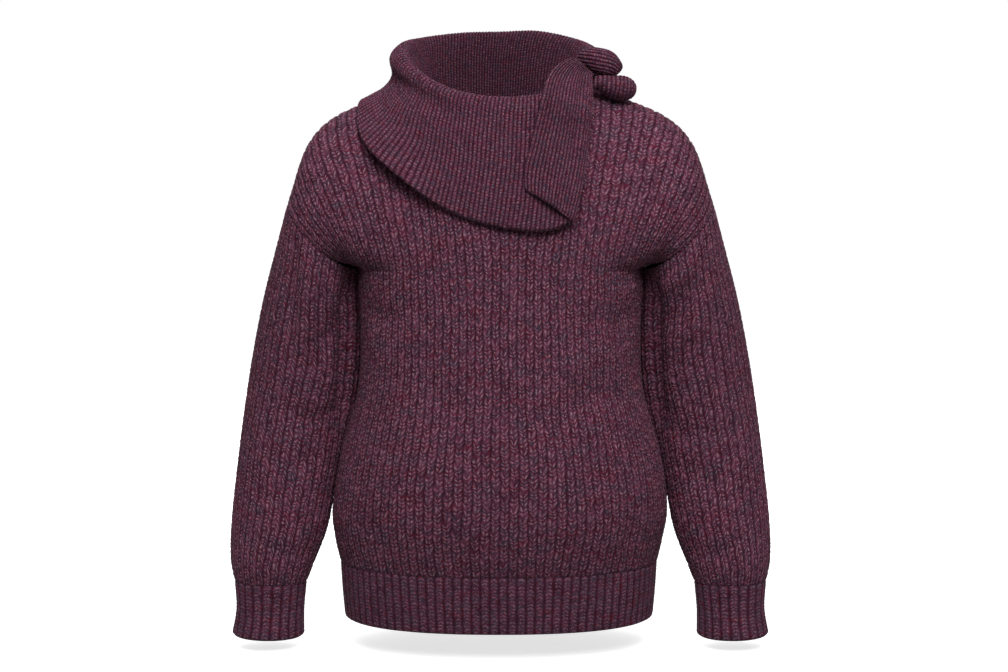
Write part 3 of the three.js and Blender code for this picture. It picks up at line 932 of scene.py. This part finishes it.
@dataclass
class Panel(KnitPiece):
    """Front or back of the body, from the hem seam to the shoulders and the neckline."""

    face: int = -1
    seam_gap: float = 0.15

    def row_span(self) -> tuple[float, float]:
        """Body rings, then one row for the yoke."""
        return 0.0, BODY.armpit_row + 1.0

    def form(self, across: np.ndarray, rows: np.ndarray) -> np.ndarray:
        """Rings up to the armpits, then the ribs' own curves over the yoke.

        Args:
            across: shares across the ribs, from 0 to 1.
            rows: places along the rows of the piece.

        Returns:
            Points, shape (rows, across, 3).
        """
        half = np.abs(across * 2 - 1)
        order = np.argsort(half)
        low = rows[rows <= BODY.armpit_row]
        rise = rows[rows > BODY.armpit_row] - BODY.armpit_row
        points = np.empty((len(rows), len(across), 3))
        points[:len(low), order] = BODY.quarter(low, self.face, half[order])
        if len(rise):
            points[len(low):, order] = BODY.yoke(half[order], rise, self.face)
        points[..., 0] *= np.where(across < 0.5, -1, 1)
        points[..., 1] += self.seam_gap * self.face
        return BODY.leaned(points)

    def directed(self, normals: np.ndarray, rows: np.ndarray, across: np.ndarray) -> np.ndarray:
        """Level at the side seams and upright along the shoulder seams.

        Args:
            normals: outward directions, shape (rows, across, 3).
            rows: places along the rows of the piece.
            across: shares across the ribs, from 0 to 1.

        Returns:
            The directions, turned along the seams.
        """
        half = np.abs(across * 2 - 1)
        body = rows <= BODY.armpit_row
        level = ease((half - 0.97) / 0.03)[None] * body[:, None]
        normals[..., 1] *= 1 - level
        upright = ease(1 - (rows[-1] - rows) / 0.06)[:, None]
        on_seam = ease((half - BODY.neck_share + 0.1) / 0.1)[None]
        normals[..., 1] *= 1 - upright * on_seam
        return unit(normals)


@dataclass
class HemBand(KnitPiece):
    """Ribbed band round the bottom of both panels."""

    rings: BodyForm = BodyForm(
        height=(-566, -600, -634), side=(189, 187, 184),
        front=(122, 120, 117), back=(116, 115, 113))
    seam_gap: float = 0.3

    def row_span(self) -> tuple[float, float]:
        """Three rings."""
        return 0.0, 2.0

    def form(self, across: np.ndarray, rows: np.ndarray) -> np.ndarray:
        """Four quarter rings, mirrored from two.

        Args:
            across: turns round the body, from the middle of the front.
            rows: places along the rows of the piece.

        Returns:
            Points, shape (rows, across, 3).
        """
        turn = across * 4
        quarter = np.minimum(turn.astype(int), 3)
        share = turn - quarter
        points = np.empty((len(rows), len(across), 3))
        for k, (face, hand, from_middle) in enumerate(
                ((-1, 1, True), (1, 1, False), (1, -1, True), (-1, -1, False))):
            here = quarter == k
            half = share[here] if from_middle else 1 - share[here]
            order = np.argsort(half)
            part = np.empty((len(rows), here.sum(), 3))
            part[:, order] = self.rings.quarter(rows, face, half[order])
            part[..., 0] *= hand
            points[:, here] = part
        points[..., 2] -= self.seam_gap
        return BODY.leaned(points)


@dataclass
class Sleeve(KnitPiece):
    """Sleeve tube from the armhole to the cuff seam."""

    hand: int = 1
    armhole_gap: float = 0.4

    def row_span(self) -> tuple[float, float]:
        """The armhole, then the sleeve's rings."""
        return 0.0, float(len(SLEEVE_FORM.depth))

    def form(self, across: np.ndarray, rows: np.ndarray) -> np.ndarray:
        """Straight from the armhole to the first ring, then ring to ring.

        Args:
            across: turns round the sleeve.
            rows: places along the rows of the piece.

        Returns:
            Points, shape (rows, across, 3).
        """
        points = SLEEVE_FORM.ring(across, np.maximum(rows - 1, 0))
        near = np.cos(2 * math.pi * across)
        armpit = (0.5 - 0.5 * near) ** 6
        hole = BODY.armhole(across)
        hole += stacked(self.armhole_gap + 2.8 * armpit, 0.0, -self.armhole_gap)
        start = rows < 1
        share = rows[start][:, None, None]
        points[start] = hole * (1 - share) + points[start] * share
        points = softened(points, 0, False, 6)
        points[..., 0] *= self.hand
        return points


@dataclass
class Cuff(KnitPiece):
    """Ribbed cuff tube."""

    hand: int = 1

    def row_span(self) -> tuple[float, float]:
        """Three rings."""
        return 0.0, 2.0

    def form(self, across: np.ndarray, rows: np.ndarray) -> np.ndarray:
        """The cuff's rings.

        Args:
            across: turns round the cuff.
            rows: places along the rows of the piece.

        Returns:
            Points, shape (rows, across, 3).
        """
        points = CUFF_FORM.ring(across, rows)
        points[..., 0] *= self.hand
        return points


@dataclass(frozen=True)
class CollarForm:
    """Profiles of the collar, one every 30 degrees from the wearer's left round the front.

    The nine places of a profile run from the neckline seam up the stand, over the roll and
    down the fall to its edge.
    """

    first_bearing: float = 90
    bearing_step: float = 30
    reach: tuple[tuple[float, ...], ...] = (
        (88.3, 94, 104, 114, 124, 130, 138, 148, 156),
        (87.9, 94, 105, 115, 125, 129, 138, 150, 162),
        (87.0, 92, 100, 109, 119, 124, 131, 139, 147),
        (85.6, 90, 96, 104, 113, 119, 126, 131, 133.5),
        (87.0, 92, 100, 109, 119, 124, 130, 137, 142),
        (87.9, 95, 107, 117, 127, 131, 144, 160, 175),
        (88.3, 95, 105, 117, 129, 130, 139, 154, 168),
        (83.5, 89, 97, 108, 119, 124, 135, 148, 158),
        (71.3, 77, 84, 95, 107, 112, 118, 124, 129),
        (64.9, 71, 79, 90, 101, 106, 109, 112, 115),
        (71.3, 77, 85, 96, 108, 114, 119, 124, 129),
        (83.5, 90, 99, 110, 121, 126, 133, 143, 152),
        (88.3, 94, 104, 114, 124, 129, 137, 147, 156),
    )
    height: tuple[tuple[float, ...], ...] = (
        (-6, 14, 28, 34, 28, 12, 0, -8, -15),
        (-34, -12, 6, 13, 5, -18, -48, -74, -92),
        (-64, -40, -22, -13, -23, -54, -92, -130, -163),
        (-76, -48, -28, -19, -28, -58, -95, -132, -165),
        (-64, -38, -19, -10, -20, -50, -85, -115, -140),
        (-34, -8, 8, 15, 6, -18, -42, -60, -76),
        (-6, 20, 40, 47, 35, 12, -3, -12, -19),
        (-8, 28, 51, 60, 49, 20, -6, -24, -38),
        (-16, 30, 58, 68, 56, 26, -6, -34, -56),
        (-20, 30, 60, 70, 58, 28, -2, -34, -60),
        (-16, 30, 59, 70, 59, 28, -4, -31, -53),
        (-8, 26, 47, 57, 47, 21, -4, -22, -36),
        (-6, 16, 32, 38, 30, 12, 0, -9, -17),
    )
    front_end: tuple[float, ...] = (80, 72, 58, 46, 43, 41, 39, 36, 33)
    back_end: tuple[float, ...] = (-267, -266, -264, -262, -259, -256, -252, -248, -244)

    def read(self, table: tuple[tuple[float, ...], ...], bearing: np.ndarray,
             row: np.ndarray) -> np.ndarray:
        """Smooth value of a table at bearings (rows, columns) and rows (rows,).

        Args:
            table: reach or height, a profile for each bearing.
            bearing: degrees, shape (rows, across).
            row: places along the profile.

        Returns:
            Values, shape (rows, across).
        """
        stations = through(table, (self.first_bearing - bearing) / self.bearing_step)
        by_place = np.moveaxis(stations, -1, 0)
        return np.stack([through(by_place[:, k], r) for k, r in enumerate(row)])

    def surface(self, across: np.ndarray, rows: np.ndarray) -> np.ndarray:
        """Reach and height at a bearing, turned round the neck's middle.

        Args:
            across: shares from the front end to the back end.
            rows: places along the profile.

        Returns:
            Points, shape (rows, across, 3).
        """
        front, back = through(self.front_end, rows)[:, None], through(self.back_end, rows)[:, None]
        bearing = front + (back - front) * across[None, :]
        turn = np.radians(bearing)
        reach = self.read(self.reach, bearing, rows)
        return stacked(reach * np.sin(turn), -reach * np.cos(turn),
                       self.read(self.height, bearing, rows))

    def fall_reach(self, bearing: float, height: float) -> float:
        """Reach of the fall at a bearing where it passes a height, by halving.

        Args:
            bearing: degrees from the front.
            height: the height to find.

        Returns:
            Distance from the upright axis of the neck.
        """
        low, high = 3.0, 8.0
        where = np.array([[bearing]])
        for _ in range(24):
            middle = (low + high) / 2
            if self.read(self.height, where, np.array([middle]))[0, 0] > height:
                low = middle
            else:
                high = middle
        return float(self.read(self.reach, where, np.array([low]))[0, 0])


COLLAR_FORM = CollarForm()


@dataclass
class Collar(KnitPiece):
    """Wide ribbed collar: it stands, rolls over and falls outwards."""

    def row_span(self) -> tuple[float, float]:
        """Nine places of the profile."""
        return 0.0, 8.0

    def form(self, across: np.ndarray, rows: np.ndarray) -> np.ndarray:
        """The collar's own profiles."""
        return COLLAR_FORM.surface(across, rows)

    def openness(self, rows: np.ndarray) -> np.ndarray:
        """Openness to the light, painted as shade by the material: little on the stand, inside the
        neck, and full over the roll, at the third place.
        """
        return 0.1 + 0.9 * ease((rows - 2.1) / 0.9)


@dataclass
class FrontTie(KnitPiece):
    """Front end of the collar, lying over the fall down to its slanted tip."""

    on_fall: tuple[tuple[float, ...], ...] = (
        (27, -122, 5, 84, -159, 5),
        (27, -100, 5, 93, -124, 5),
        (33, -74, 6, 98, -95, 5),
        (40, -46, 7, 102, -64, 5),
    )
    above: tuple[tuple[float, ...], ...] = (
        (46, -122, -20, 105, -90, -33),
        (53, -108, 3, 107, -68, -6),
        (66, -84, 20, 107, -48, 8),
        (79, -58, 28.5, 108, -44, 9),
        (86, -29, 31, 107, -31.5, 8),
    )
    crown: float = 6
    fall_rib: float = 1.4

    def row_span(self) -> tuple[float, float]:
        """From the knot down to the tip."""
        return float(len(self.on_fall) + len(self.above) - 1), 0.0

    def on_fall_point(self, x: float, z: float, lift: float) -> tuple[float, float, float]:
        """Point that stands off the fall by its rib and the lift.

        Args:
            x: place across the body.
            z: height.
            lift: distance off the ribs.

        Returns:
            The point.
        """
        depth = 120.0
        for _ in range(6):
            bearing = math.degrees(math.atan2(x, depth))
            reach = COLLAR_FORM.fall_reach(bearing, z) + self.fall_rib + lift
            depth = math.sqrt(reach * reach - x * x)
        return x, -depth, z

    def form(self, across: np.ndarray, rows: np.ndarray) -> np.ndarray:
        """Straight between the two edges, crowned as the sine of the way across.

        Args:
            across: shares across the ribs, from 0 to 1.
            rows: places along the rows of the piece.

        Returns:
            Points, shape (rows, across, 3).
        """
        left = [self.on_fall_point(*row[:3]) for row in self.on_fall] + [r[:3] for r in self.above]
        right = [self.on_fall_point(*row[3:]) for row in self.on_fall] + [r[3:] for r in self.above]
        left_edge, right_edge = through(left, rows)[:, None], through(right, rows)[:, None]
        swell = self.crown * np.sin(math.pi * across)[None, :, None]
        flat = left_edge + (right_edge - left_edge) * across[None, :, None]
        return flat + swell * np.array([0.4, -0.9, 0.0])


@dataclass
class KnotRoll(KnitPiece):
    """Rolled piece of the knot: a tube along a curve, its ribs along it or wrapped round it."""

    middle: tuple[tuple[float, float, float], ...] = ()
    wide: tuple[float, ...] = ()
    high: tuple[float, ...] = ()
    wraps: int = 0

    def row_span(self) -> tuple[float, float]:
        """Every named section."""
        return 0.0, float(len(self.middle) - 1)

    def form(self, across: np.ndarray, rows: np.ndarray) -> np.ndarray:
        """Ellipses square to the curve: wide level and high upright.

        Args:
            across: turns round the roll.
            rows: places along the rows of the piece.

        Returns:
            Points, shape (rows, across, 3).
        """
        centre = through(self.middle, rows)
        last = len(self.middle) - 1
        ahead = unit(through(self.middle, np.minimum(rows + 0.05, last))
                     - through(self.middle, np.maximum(rows - 0.05, 0)))
        level = unit(stacked(-ahead[:, 1], ahead[:, 0], 0.0))
        upright = unit(np.cross(ahead, level))
        turn = 2 * math.pi * across[None, :, None]
        wide = through(self.wide, rows)[:, None, None]
        high = through(self.high, rows)[:, None, None]
        return (centre[:, None] + level[:, None] * wide * np.cos(turn)
                + upright[:, None] * high * np.sin(turn))

    def counts(self, wale: np.ndarray, length: np.ndarray) -> tuple[np.ndarray, np.ndarray]:
        """Ribs run along the roll, or round it, where its length counts the wraps.

        Args:
            wale: rib place of each column.
            length: length along the roll, in millimetres.

        Returns:
            The wale and row counts.
        """
        if not self.wraps:
            return super().counts(wale, length)
        along = length / length.max() * self.wraps
        return wandering(along, wale, self.gauge.wander)


# Stage

@dataclass(frozen=True)
class Softbox:
    """Square soft light: its place and size in metres, its power in watts."""

    name: str
    place: tuple[float, float, float]
    size: float
    power: float


@dataclass(frozen=True)
class Studio:
    """Camera, soft lights, white surround and floor, in metres."""

    lens: float = 65.7
    sensor: float = 36.0
    camera: tuple[float, float, float] = (0.0042, -2.2, -0.12)
    aim: tuple[float, float, float] = (0.0042, 0.0, -0.298)
    lit: tuple[float, float, float] = (0.0, 0.0, -0.3)
    softboxes: tuple[Softbox, ...] = (
        Softbox("front_softbox", (0.2, -2.0, 1.4), 1.3, 48),
        Softbox("back_softbox", (-0.3, 2.4, 0.9), 1.8, 50),
    )
    overhead_power: float = 0.85
    overhead_spread: float = 1.2
    ambient: float = 0.14
    floor_height: float = -0.668
    floor_half: float = 30.0
    floor_glow: float = 0.72

    def aimed(self, thing: bpy.types.Object, place: tuple[float, float, float],
              aim: tuple[float, float, float]) -> None:
        """Puts a camera or lamp at a place and turns it to what it looks at."""
        thing.location = place
        thing.rotation_euler = (Vector(aim) - thing.location).to_track_quat("-Z", "Y").to_euler()

    def build(self) -> None:
        """Puts up the camera, the lights, the surround and the floor."""
        self.set_camera()
        self.set_lights()
        self.set_surround()
        self.set_floor()

    def set_camera(self) -> None:
        """Camera a little above the sweater's middle, as in the photograph."""
        data = bpy.data.cameras.new("camera")
        data.lens = self.lens
        data.sensor_width = self.sensor
        camera = linked("camera", data)
        self.aimed(camera, self.camera, self.aim)
        bpy.context.scene.camera = camera
        bpy.context.scene.view_settings.view_transform = "Standard"

    def set_lights(self) -> None:
        """Softboxes at the front and the back, and a wide soft light from above."""
        for box in self.softboxes:
            data = bpy.data.lights.new(box.name, "AREA")
            data.shape = "SQUARE"
            data.size = box.size
            data.energy = box.power
            self.aimed(linked(box.name, data), box.place, self.lit)
        overhead = bpy.data.lights.new("overhead", "SUN")
        overhead.energy = self.overhead_power
        overhead.angle = self.overhead_spread
        linked("overhead", overhead)

    def set_surround(self) -> None:
        """White to the eye, and lights the wool only softly."""
        world = bpy.data.worlds.new("white_surround")
        world.use_nodes = True
        tree = world.node_tree
        tree.nodes.clear()
        seen = add_node(tree, "ShaderNodeLightPath").outputs["Is Camera Ray"]
        strength = add_node(tree, "ShaderNodeMapRange", {
            "Value": seen, "To Min": self.ambient, "To Max": 1.0}).outputs["Result"]
        surround = add_node(tree, "ShaderNodeBackground", {
            "Color": (1, 1, 1, 1), "Strength": strength})
        add_node(tree, "ShaderNodeOutputWorld", {"Surface": surround.outputs[0]})
        bpy.context.scene.world = world

    def set_floor(self) -> None:
        """Pale paper that glows enough to stay white, and throws no colour on the wool."""
        half, z = self.floor_half, self.floor_height
        mesh = bpy.data.meshes.new("floor")
        corners = [(-half, -half, z), (half, -half, z), (half, half, z), (-half, half, z)]
        mesh.from_pydata(corners, [], [(0, 1, 2, 3)])
        paper = bpy.data.materials.new("white_paper")
        paper.use_nodes = True
        tree = paper.node_tree
        tree.nodes.clear()
        shader = add_node(tree, "ShaderNodeBsdfPrincipled", {
            "Base Color": linear("f4f4f4"), "Roughness": 0.9, "Specular IOR Level": 0.0,
            "Emission Color": (1, 1, 1, 1), "Emission Strength": self.floor_glow})
        add_node(tree, "ShaderNodeOutputMaterial", {"Surface": shader.outputs[0]})
        mesh.materials.append(paper)
        floor = linked("floor", mesh)
        floor.visible_diffuse = False


# The sweater

def panel_creases() -> tuple[Crease, ...]:
    """Creases of the front: slight pulls down the middle and soft drags from the armpits.

    Returns:
        The creases.
    """
    return (
        Crease(((0.516, 0.40), (0.518, 0.30)), -3.2, 7),
        Crease(((0.470, 0.28), (0.466, 0.20)), -2.9, 7),
        Crease(((0.30, 0.45), (0.36, 0.36), (0.45, 0.31)), -2.9, 16),
        Crease(((0.58, 0.36), (0.68, 0.43), (0.78, 0.45)), 3.5, 18),
        Crease(((0.62, 0.30), (0.72, 0.36), (0.84, 0.37)), -3.2, 15),
        Crease(((0.10, 0.56), (0.20, 0.52), (0.32, 0.54)), -3.8, 14),
        Crease(((0.90, 0.55), (0.80, 0.51), (0.69, 0.54)), -3.8, 14),
        Crease(((0.965, 0.60), (0.95, 0.68), (0.93, 0.77)), -7.2, 12),
        Crease(((0.035, 0.60), (0.05, 0.68), (0.07, 0.77)), -7.2, 12),
        Crease(((0.22, 0.13), (0.24, 0.02)), -3.2, 14),
        Crease(((0.41, 0.12), (0.40, 0.02)), -2.6, 13),
        Crease(((0.60, 0.13), (0.62, 0.02)), -3.2, 14),
        Crease(((0.80, 0.12), (0.79, 0.02)), -3.2, 14),
    )


def back_creases() -> tuple[Crease, ...]:
    """Creases of the back: like those of the front, laid out otherwise.

    Returns:
        The creases.
    """
    return (
        Crease(((0.45, 0.44), (0.47, 0.33)), -2.9, 9),
        Crease(((0.56, 0.30), (0.55, 0.20)), -2.9, 8),
        Crease(((0.28, 0.40), (0.38, 0.34), (0.47, 0.34)), 3.2, 18),
        Crease(((0.62, 0.42), (0.72, 0.36), (0.80, 0.37)), -3.2, 16),
        Crease(((0.10, 0.57), (0.21, 0.53), (0.33, 0.56)), -4.1, 15),
        Crease(((0.90, 0.56), (0.79, 0.52), (0.68, 0.55)), -4.1, 15),
        Crease(((0.965, 0.60), (0.95, 0.69), (0.94, 0.78)), -6.5, 12),
        Crease(((0.035, 0.61), (0.05, 0.69), (0.06, 0.76)), -6.5, 12),
        Crease(((0.26, 0.12), (0.25, 0.02)), -2.9, 14),
        Crease(((0.50, 0.13), (0.51, 0.02)), -2.9, 14),
        Crease(((0.74, 0.12), (0.75, 0.02)), -2.9, 14),
    )


def sleeve_creases(hand: int) -> tuple[Crease, ...]:
    """Creases of a sleeve: drags from the armpit, folds at the elbow and over the cuff.

    Args:
        hand: 1 for the wearer's left sleeve, -1 for the right.

    Returns:
        The folds that both sleeves share, then those of this one.
    """
    shared = (
        Crease(((0.50, 0.00), (0.50, 0.12), (0.50, 0.25)), 6.5, 24),
        Crease(((0.50, 0.42), (0.50, 0.49), (0.50, 0.56)), 3.4, 20),
        Crease(((0.42, 0.04), (0.41, 0.28), (0.43, 0.54)), -17.0, 17),
        Crease(((0.59, 0.12), (0.60, 0.28), (0.58, 0.44)), -7.0, 15),
        Crease(((0.58, 0.10), (0.68, 0.22), (0.78, 0.26)), -4.0, 12),
        Crease(((0.56, 0.48), (0.66, 0.54), (0.75, 0.55)), -3.2, 11),
        Crease(((0.20, 0.86), (0.30, 0.90), (0.42, 0.90)), -3.0, 8),
        Crease(((0.95, 0.88), (0.84, 0.92), (0.72, 0.91)), -3.0, 8),
    )
    if hand > 0:
        return shared + (
            Crease(((0.38, 0.10), (0.30, 0.07), (0.22, 0.03)), 4.5, 10),
            Crease(((0.38, 0.20), (0.29, 0.16), (0.20, 0.10)), -5.0, 11),
            Crease(((0.37, 0.28), (0.28, 0.25), (0.18, 0.18)), 3.5, 11),
            Crease(((0.40, 0.50), (0.30, 0.55), (0.20, 0.55)), -3.4, 11),
            Crease(((0.38, 0.64), (0.28, 0.68), (0.20, 0.67)), -3.0, 12),
        )
    return shared + (
        Crease(((0.185, 0.00), (0.19, 0.14), (0.20, 0.30)), -5.0, 9),
        Crease(((0.25, 0.02), (0.25, 0.16), (0.26, 0.32)), 3.5, 9),
        Crease(((0.40, 0.16), (0.33, 0.24), (0.27, 0.36)), -4.5, 11),
        Crease(((0.41, 0.46), (0.32, 0.50), (0.22, 0.49)), -3.6, 11),
        Crease(((0.38, 0.58), (0.30, 0.63), (0.20, 0.64)), -3.0, 12),
    )


def tie_creases() -> tuple[Crease, ...]:
    """Creases of the tie: its right side is turned over in a long soft ridge.

    Returns:
        The creases.
    """
    return (
        Crease(((0.88, 0.02), (0.86, 0.35), (0.84, 0.70), (0.80, 0.98)), 2.6, 5),
        Crease(((0.70, 0.02), (0.70, 0.40), (0.66, 0.80)), -2.2, 6),
        Crease(((0.30, 0.05), (0.36, 0.30), (0.34, 0.60)), -1.6, 8),
        Crease(((0.04, 0.22), (0.05, 0.50), (0.05, 0.75), (0.04, 0.96)), 3.4, 6),
    )


def collar_creases() -> tuple[Crease, ...]:
    """Creases of the collar: a soft trough under the roll and slight waves in the fall.

    Returns:
        The creases.
    """
    return (
        Crease(((0.45, 0.62), (0.37, 0.55), (0.29, 0.52), (0.20, 0.55)), -9.0, 12),
        Crease(((0.44, 0.45), (0.34, 0.33), (0.24, 0.30)), 3.0, 10),
        Crease(((0.30, 0.72), (0.26, 0.86)), -2.4, 14),
        Crease(((0.16, 0.74), (0.13, 0.88)), -2.0, 14),
        Crease(((0.58, 0.62), (0.70, 0.60), (0.82, 0.62)), -3.0, 13),
        Crease(((0.66, 0.74), (0.68, 0.90)), -2.4, 15),
    )


def pieces() -> list[KnitPiece]:
    """Every cloth piece of the sweater, with its cut in metres.

    Returns:
        The pieces, in the order in which they are made.
    """
    body = {"slot": "body_knit", "gauge": BODY_GAUGE, "wall": 2.4}
    band = {"slot": "band_knit", "gauge": BAND_GAUGE, "wall": 2.4}
    neck = {"slot": "collar_knit", "gauge": COLLAR_GAUGE, "wall": 2.4}
    made: list[KnitPiece] = [
        Panel("knit_front", "front_panel", ribs=50, step=2.0, flat=(0.54, 0.62), area=0.28,
              rests_on=("hem_band",), face=-1, outward=1, creases=panel_creases(), **body),
        Panel("knit_back", "back_panel", ribs=50, step=2.0, flat=(0.52, 0.64), area=0.28,
              rests_on=("front_panel",), face=1, outward=-1, creases=back_creases(), **body),
        HemBand("knit_hem", "hem_band", ribs=96, step=2.0, flat=(1.0, 0.07), area=0.07,
                rests_on=("front_panel", "back_panel"), closed=True, outward=-1,
                rims=(Rim.SEAM, Rim.FREE, Rim.JOINED, Rim.JOINED), **band),
        Collar("knit_collar", "collar", ribs=130, step=2.4, flat=(0.78, 0.24), area=0.15,
               rests_on=("front_panel", "back_panel"), outward=1, creases=collar_creases(),
               rims=(Rim.SEAM, Rim.FREE, Rim.FREE, Rim.FREE), **neck),
        FrontTie("knit_tie", "front_tie", ribs=17, step=1.8, flat=(0.085, 0.22), area=0.016,
                 rests_on=("collar",), outward=-1, slot="collar_knit", gauge=COLLAR_GAUGE,
                 wall=3.6, per_rib=8, columns_inside=4, creases=tie_creases(),
                 rims=(Rim.FREE, Rim.FREE, Rim.FREE, Rim.FREE)),
    ]
    for side, hand in (("left", 1), ("right", -1)):
        made.append(Sleeve(
            f"knit_{side}_sleeve", f"{side}_sleeve", ribs=34, step=2.0, flat=(0.42, 0.46),
            area=0.16, rests_on=("front_panel", "back_panel"), closed=True, outward=hand, hand=hand,
            rims=(Rim.SEAM, Rim.SEAM, Rim.JOINED, Rim.JOINED), creases=sleeve_creases(hand),
            **body))
        made.append(Cuff(
            f"knit_{side}_cuff", f"{side}_cuff", ribs=22, step=1.9, flat=(0.20, 0.066), area=0.013,
            rests_on=(f"{side}_sleeve",), closed=True, outward=hand, hand=hand, per_rib=8,
            columns_inside=8, rims=(Rim.SEAM, Rim.FREE, Rim.JOINED, Rim.JOINED), **band))
    made.append(KnotRoll(
        "knit_knot_loop", "knot_loop", ribs=20, step=1.5, flat=(0.08, 0.09), area=0.0065,
        rests_on=("collar",), closed=True, per_rib=8, columns_inside=4,
        middle=((112, 27, 21.5), (115, 9, 26), (107, -8, 31), (112, -20, 29), (123, -26, 25),
                (132, -25, 19), (137.5, -23, 14)),
        wide=(9, 11, 14, 15, 14.5, 12.5, 7), high=(9, 12, 12, 13.2, 14, 11, 6.5),
        rims=(Rim.FREE, Rim.FREE, Rim.JOINED, Rim.JOINED), **neck))
    made.append(KnotRoll(
        "knit_knot_end", "knot_end", ribs=20, step=0.8, flat=(0.075, 0.05), area=0.0035,
        rests_on=("knot_loop",), closed=True, per_rib=4, columns_inside=4, wraps=13,
        middle=((108, -42, 1), (119, -42, 0), (130, -38, -3.2), (141, -31, -4.6),
                (149, -23, -5.3), (153, -18, -6)),
        wide=(7, 10, 13.5, 14.5, 11.5, 6), high=(6, 8.5, 11.5, 13.5, 11.5, 6.5),
        rims=(Rim.FREE, Rim.FREE, Rim.JOINED, Rim.JOINED), **neck))
    return made


def main() -> None:
    """Builds the stage and every piece, then notes the sizes."""
    logging.basicConfig(level=logging.INFO, format="%(name)s: %(message)s")
    Studio().build()
    finishes = {
        "body_knit": MarledWool("marled_wool_body_rib", BODY_GAUGE),
        "band_knit": MarledWool("marled_wool_band_rib", BAND_GAUGE, plum="45192c",
                                rose="5f3147", painted_highlight_colour="98788a", depth=0.62),
        "collar_knit": MarledWool("marled_wool_collar_rib", COLLAR_GAUGE, plum="481b2e",
                                  rose="66334a", painted_highlight_colour="9a7886", depth=0.74),
    }
    materials = {slot: finish.build() for slot, finish in finishes.items()}
    for piece in pieces():
        piece.build(materials[piece.slot])


if __name__ == "__main__":
    main()
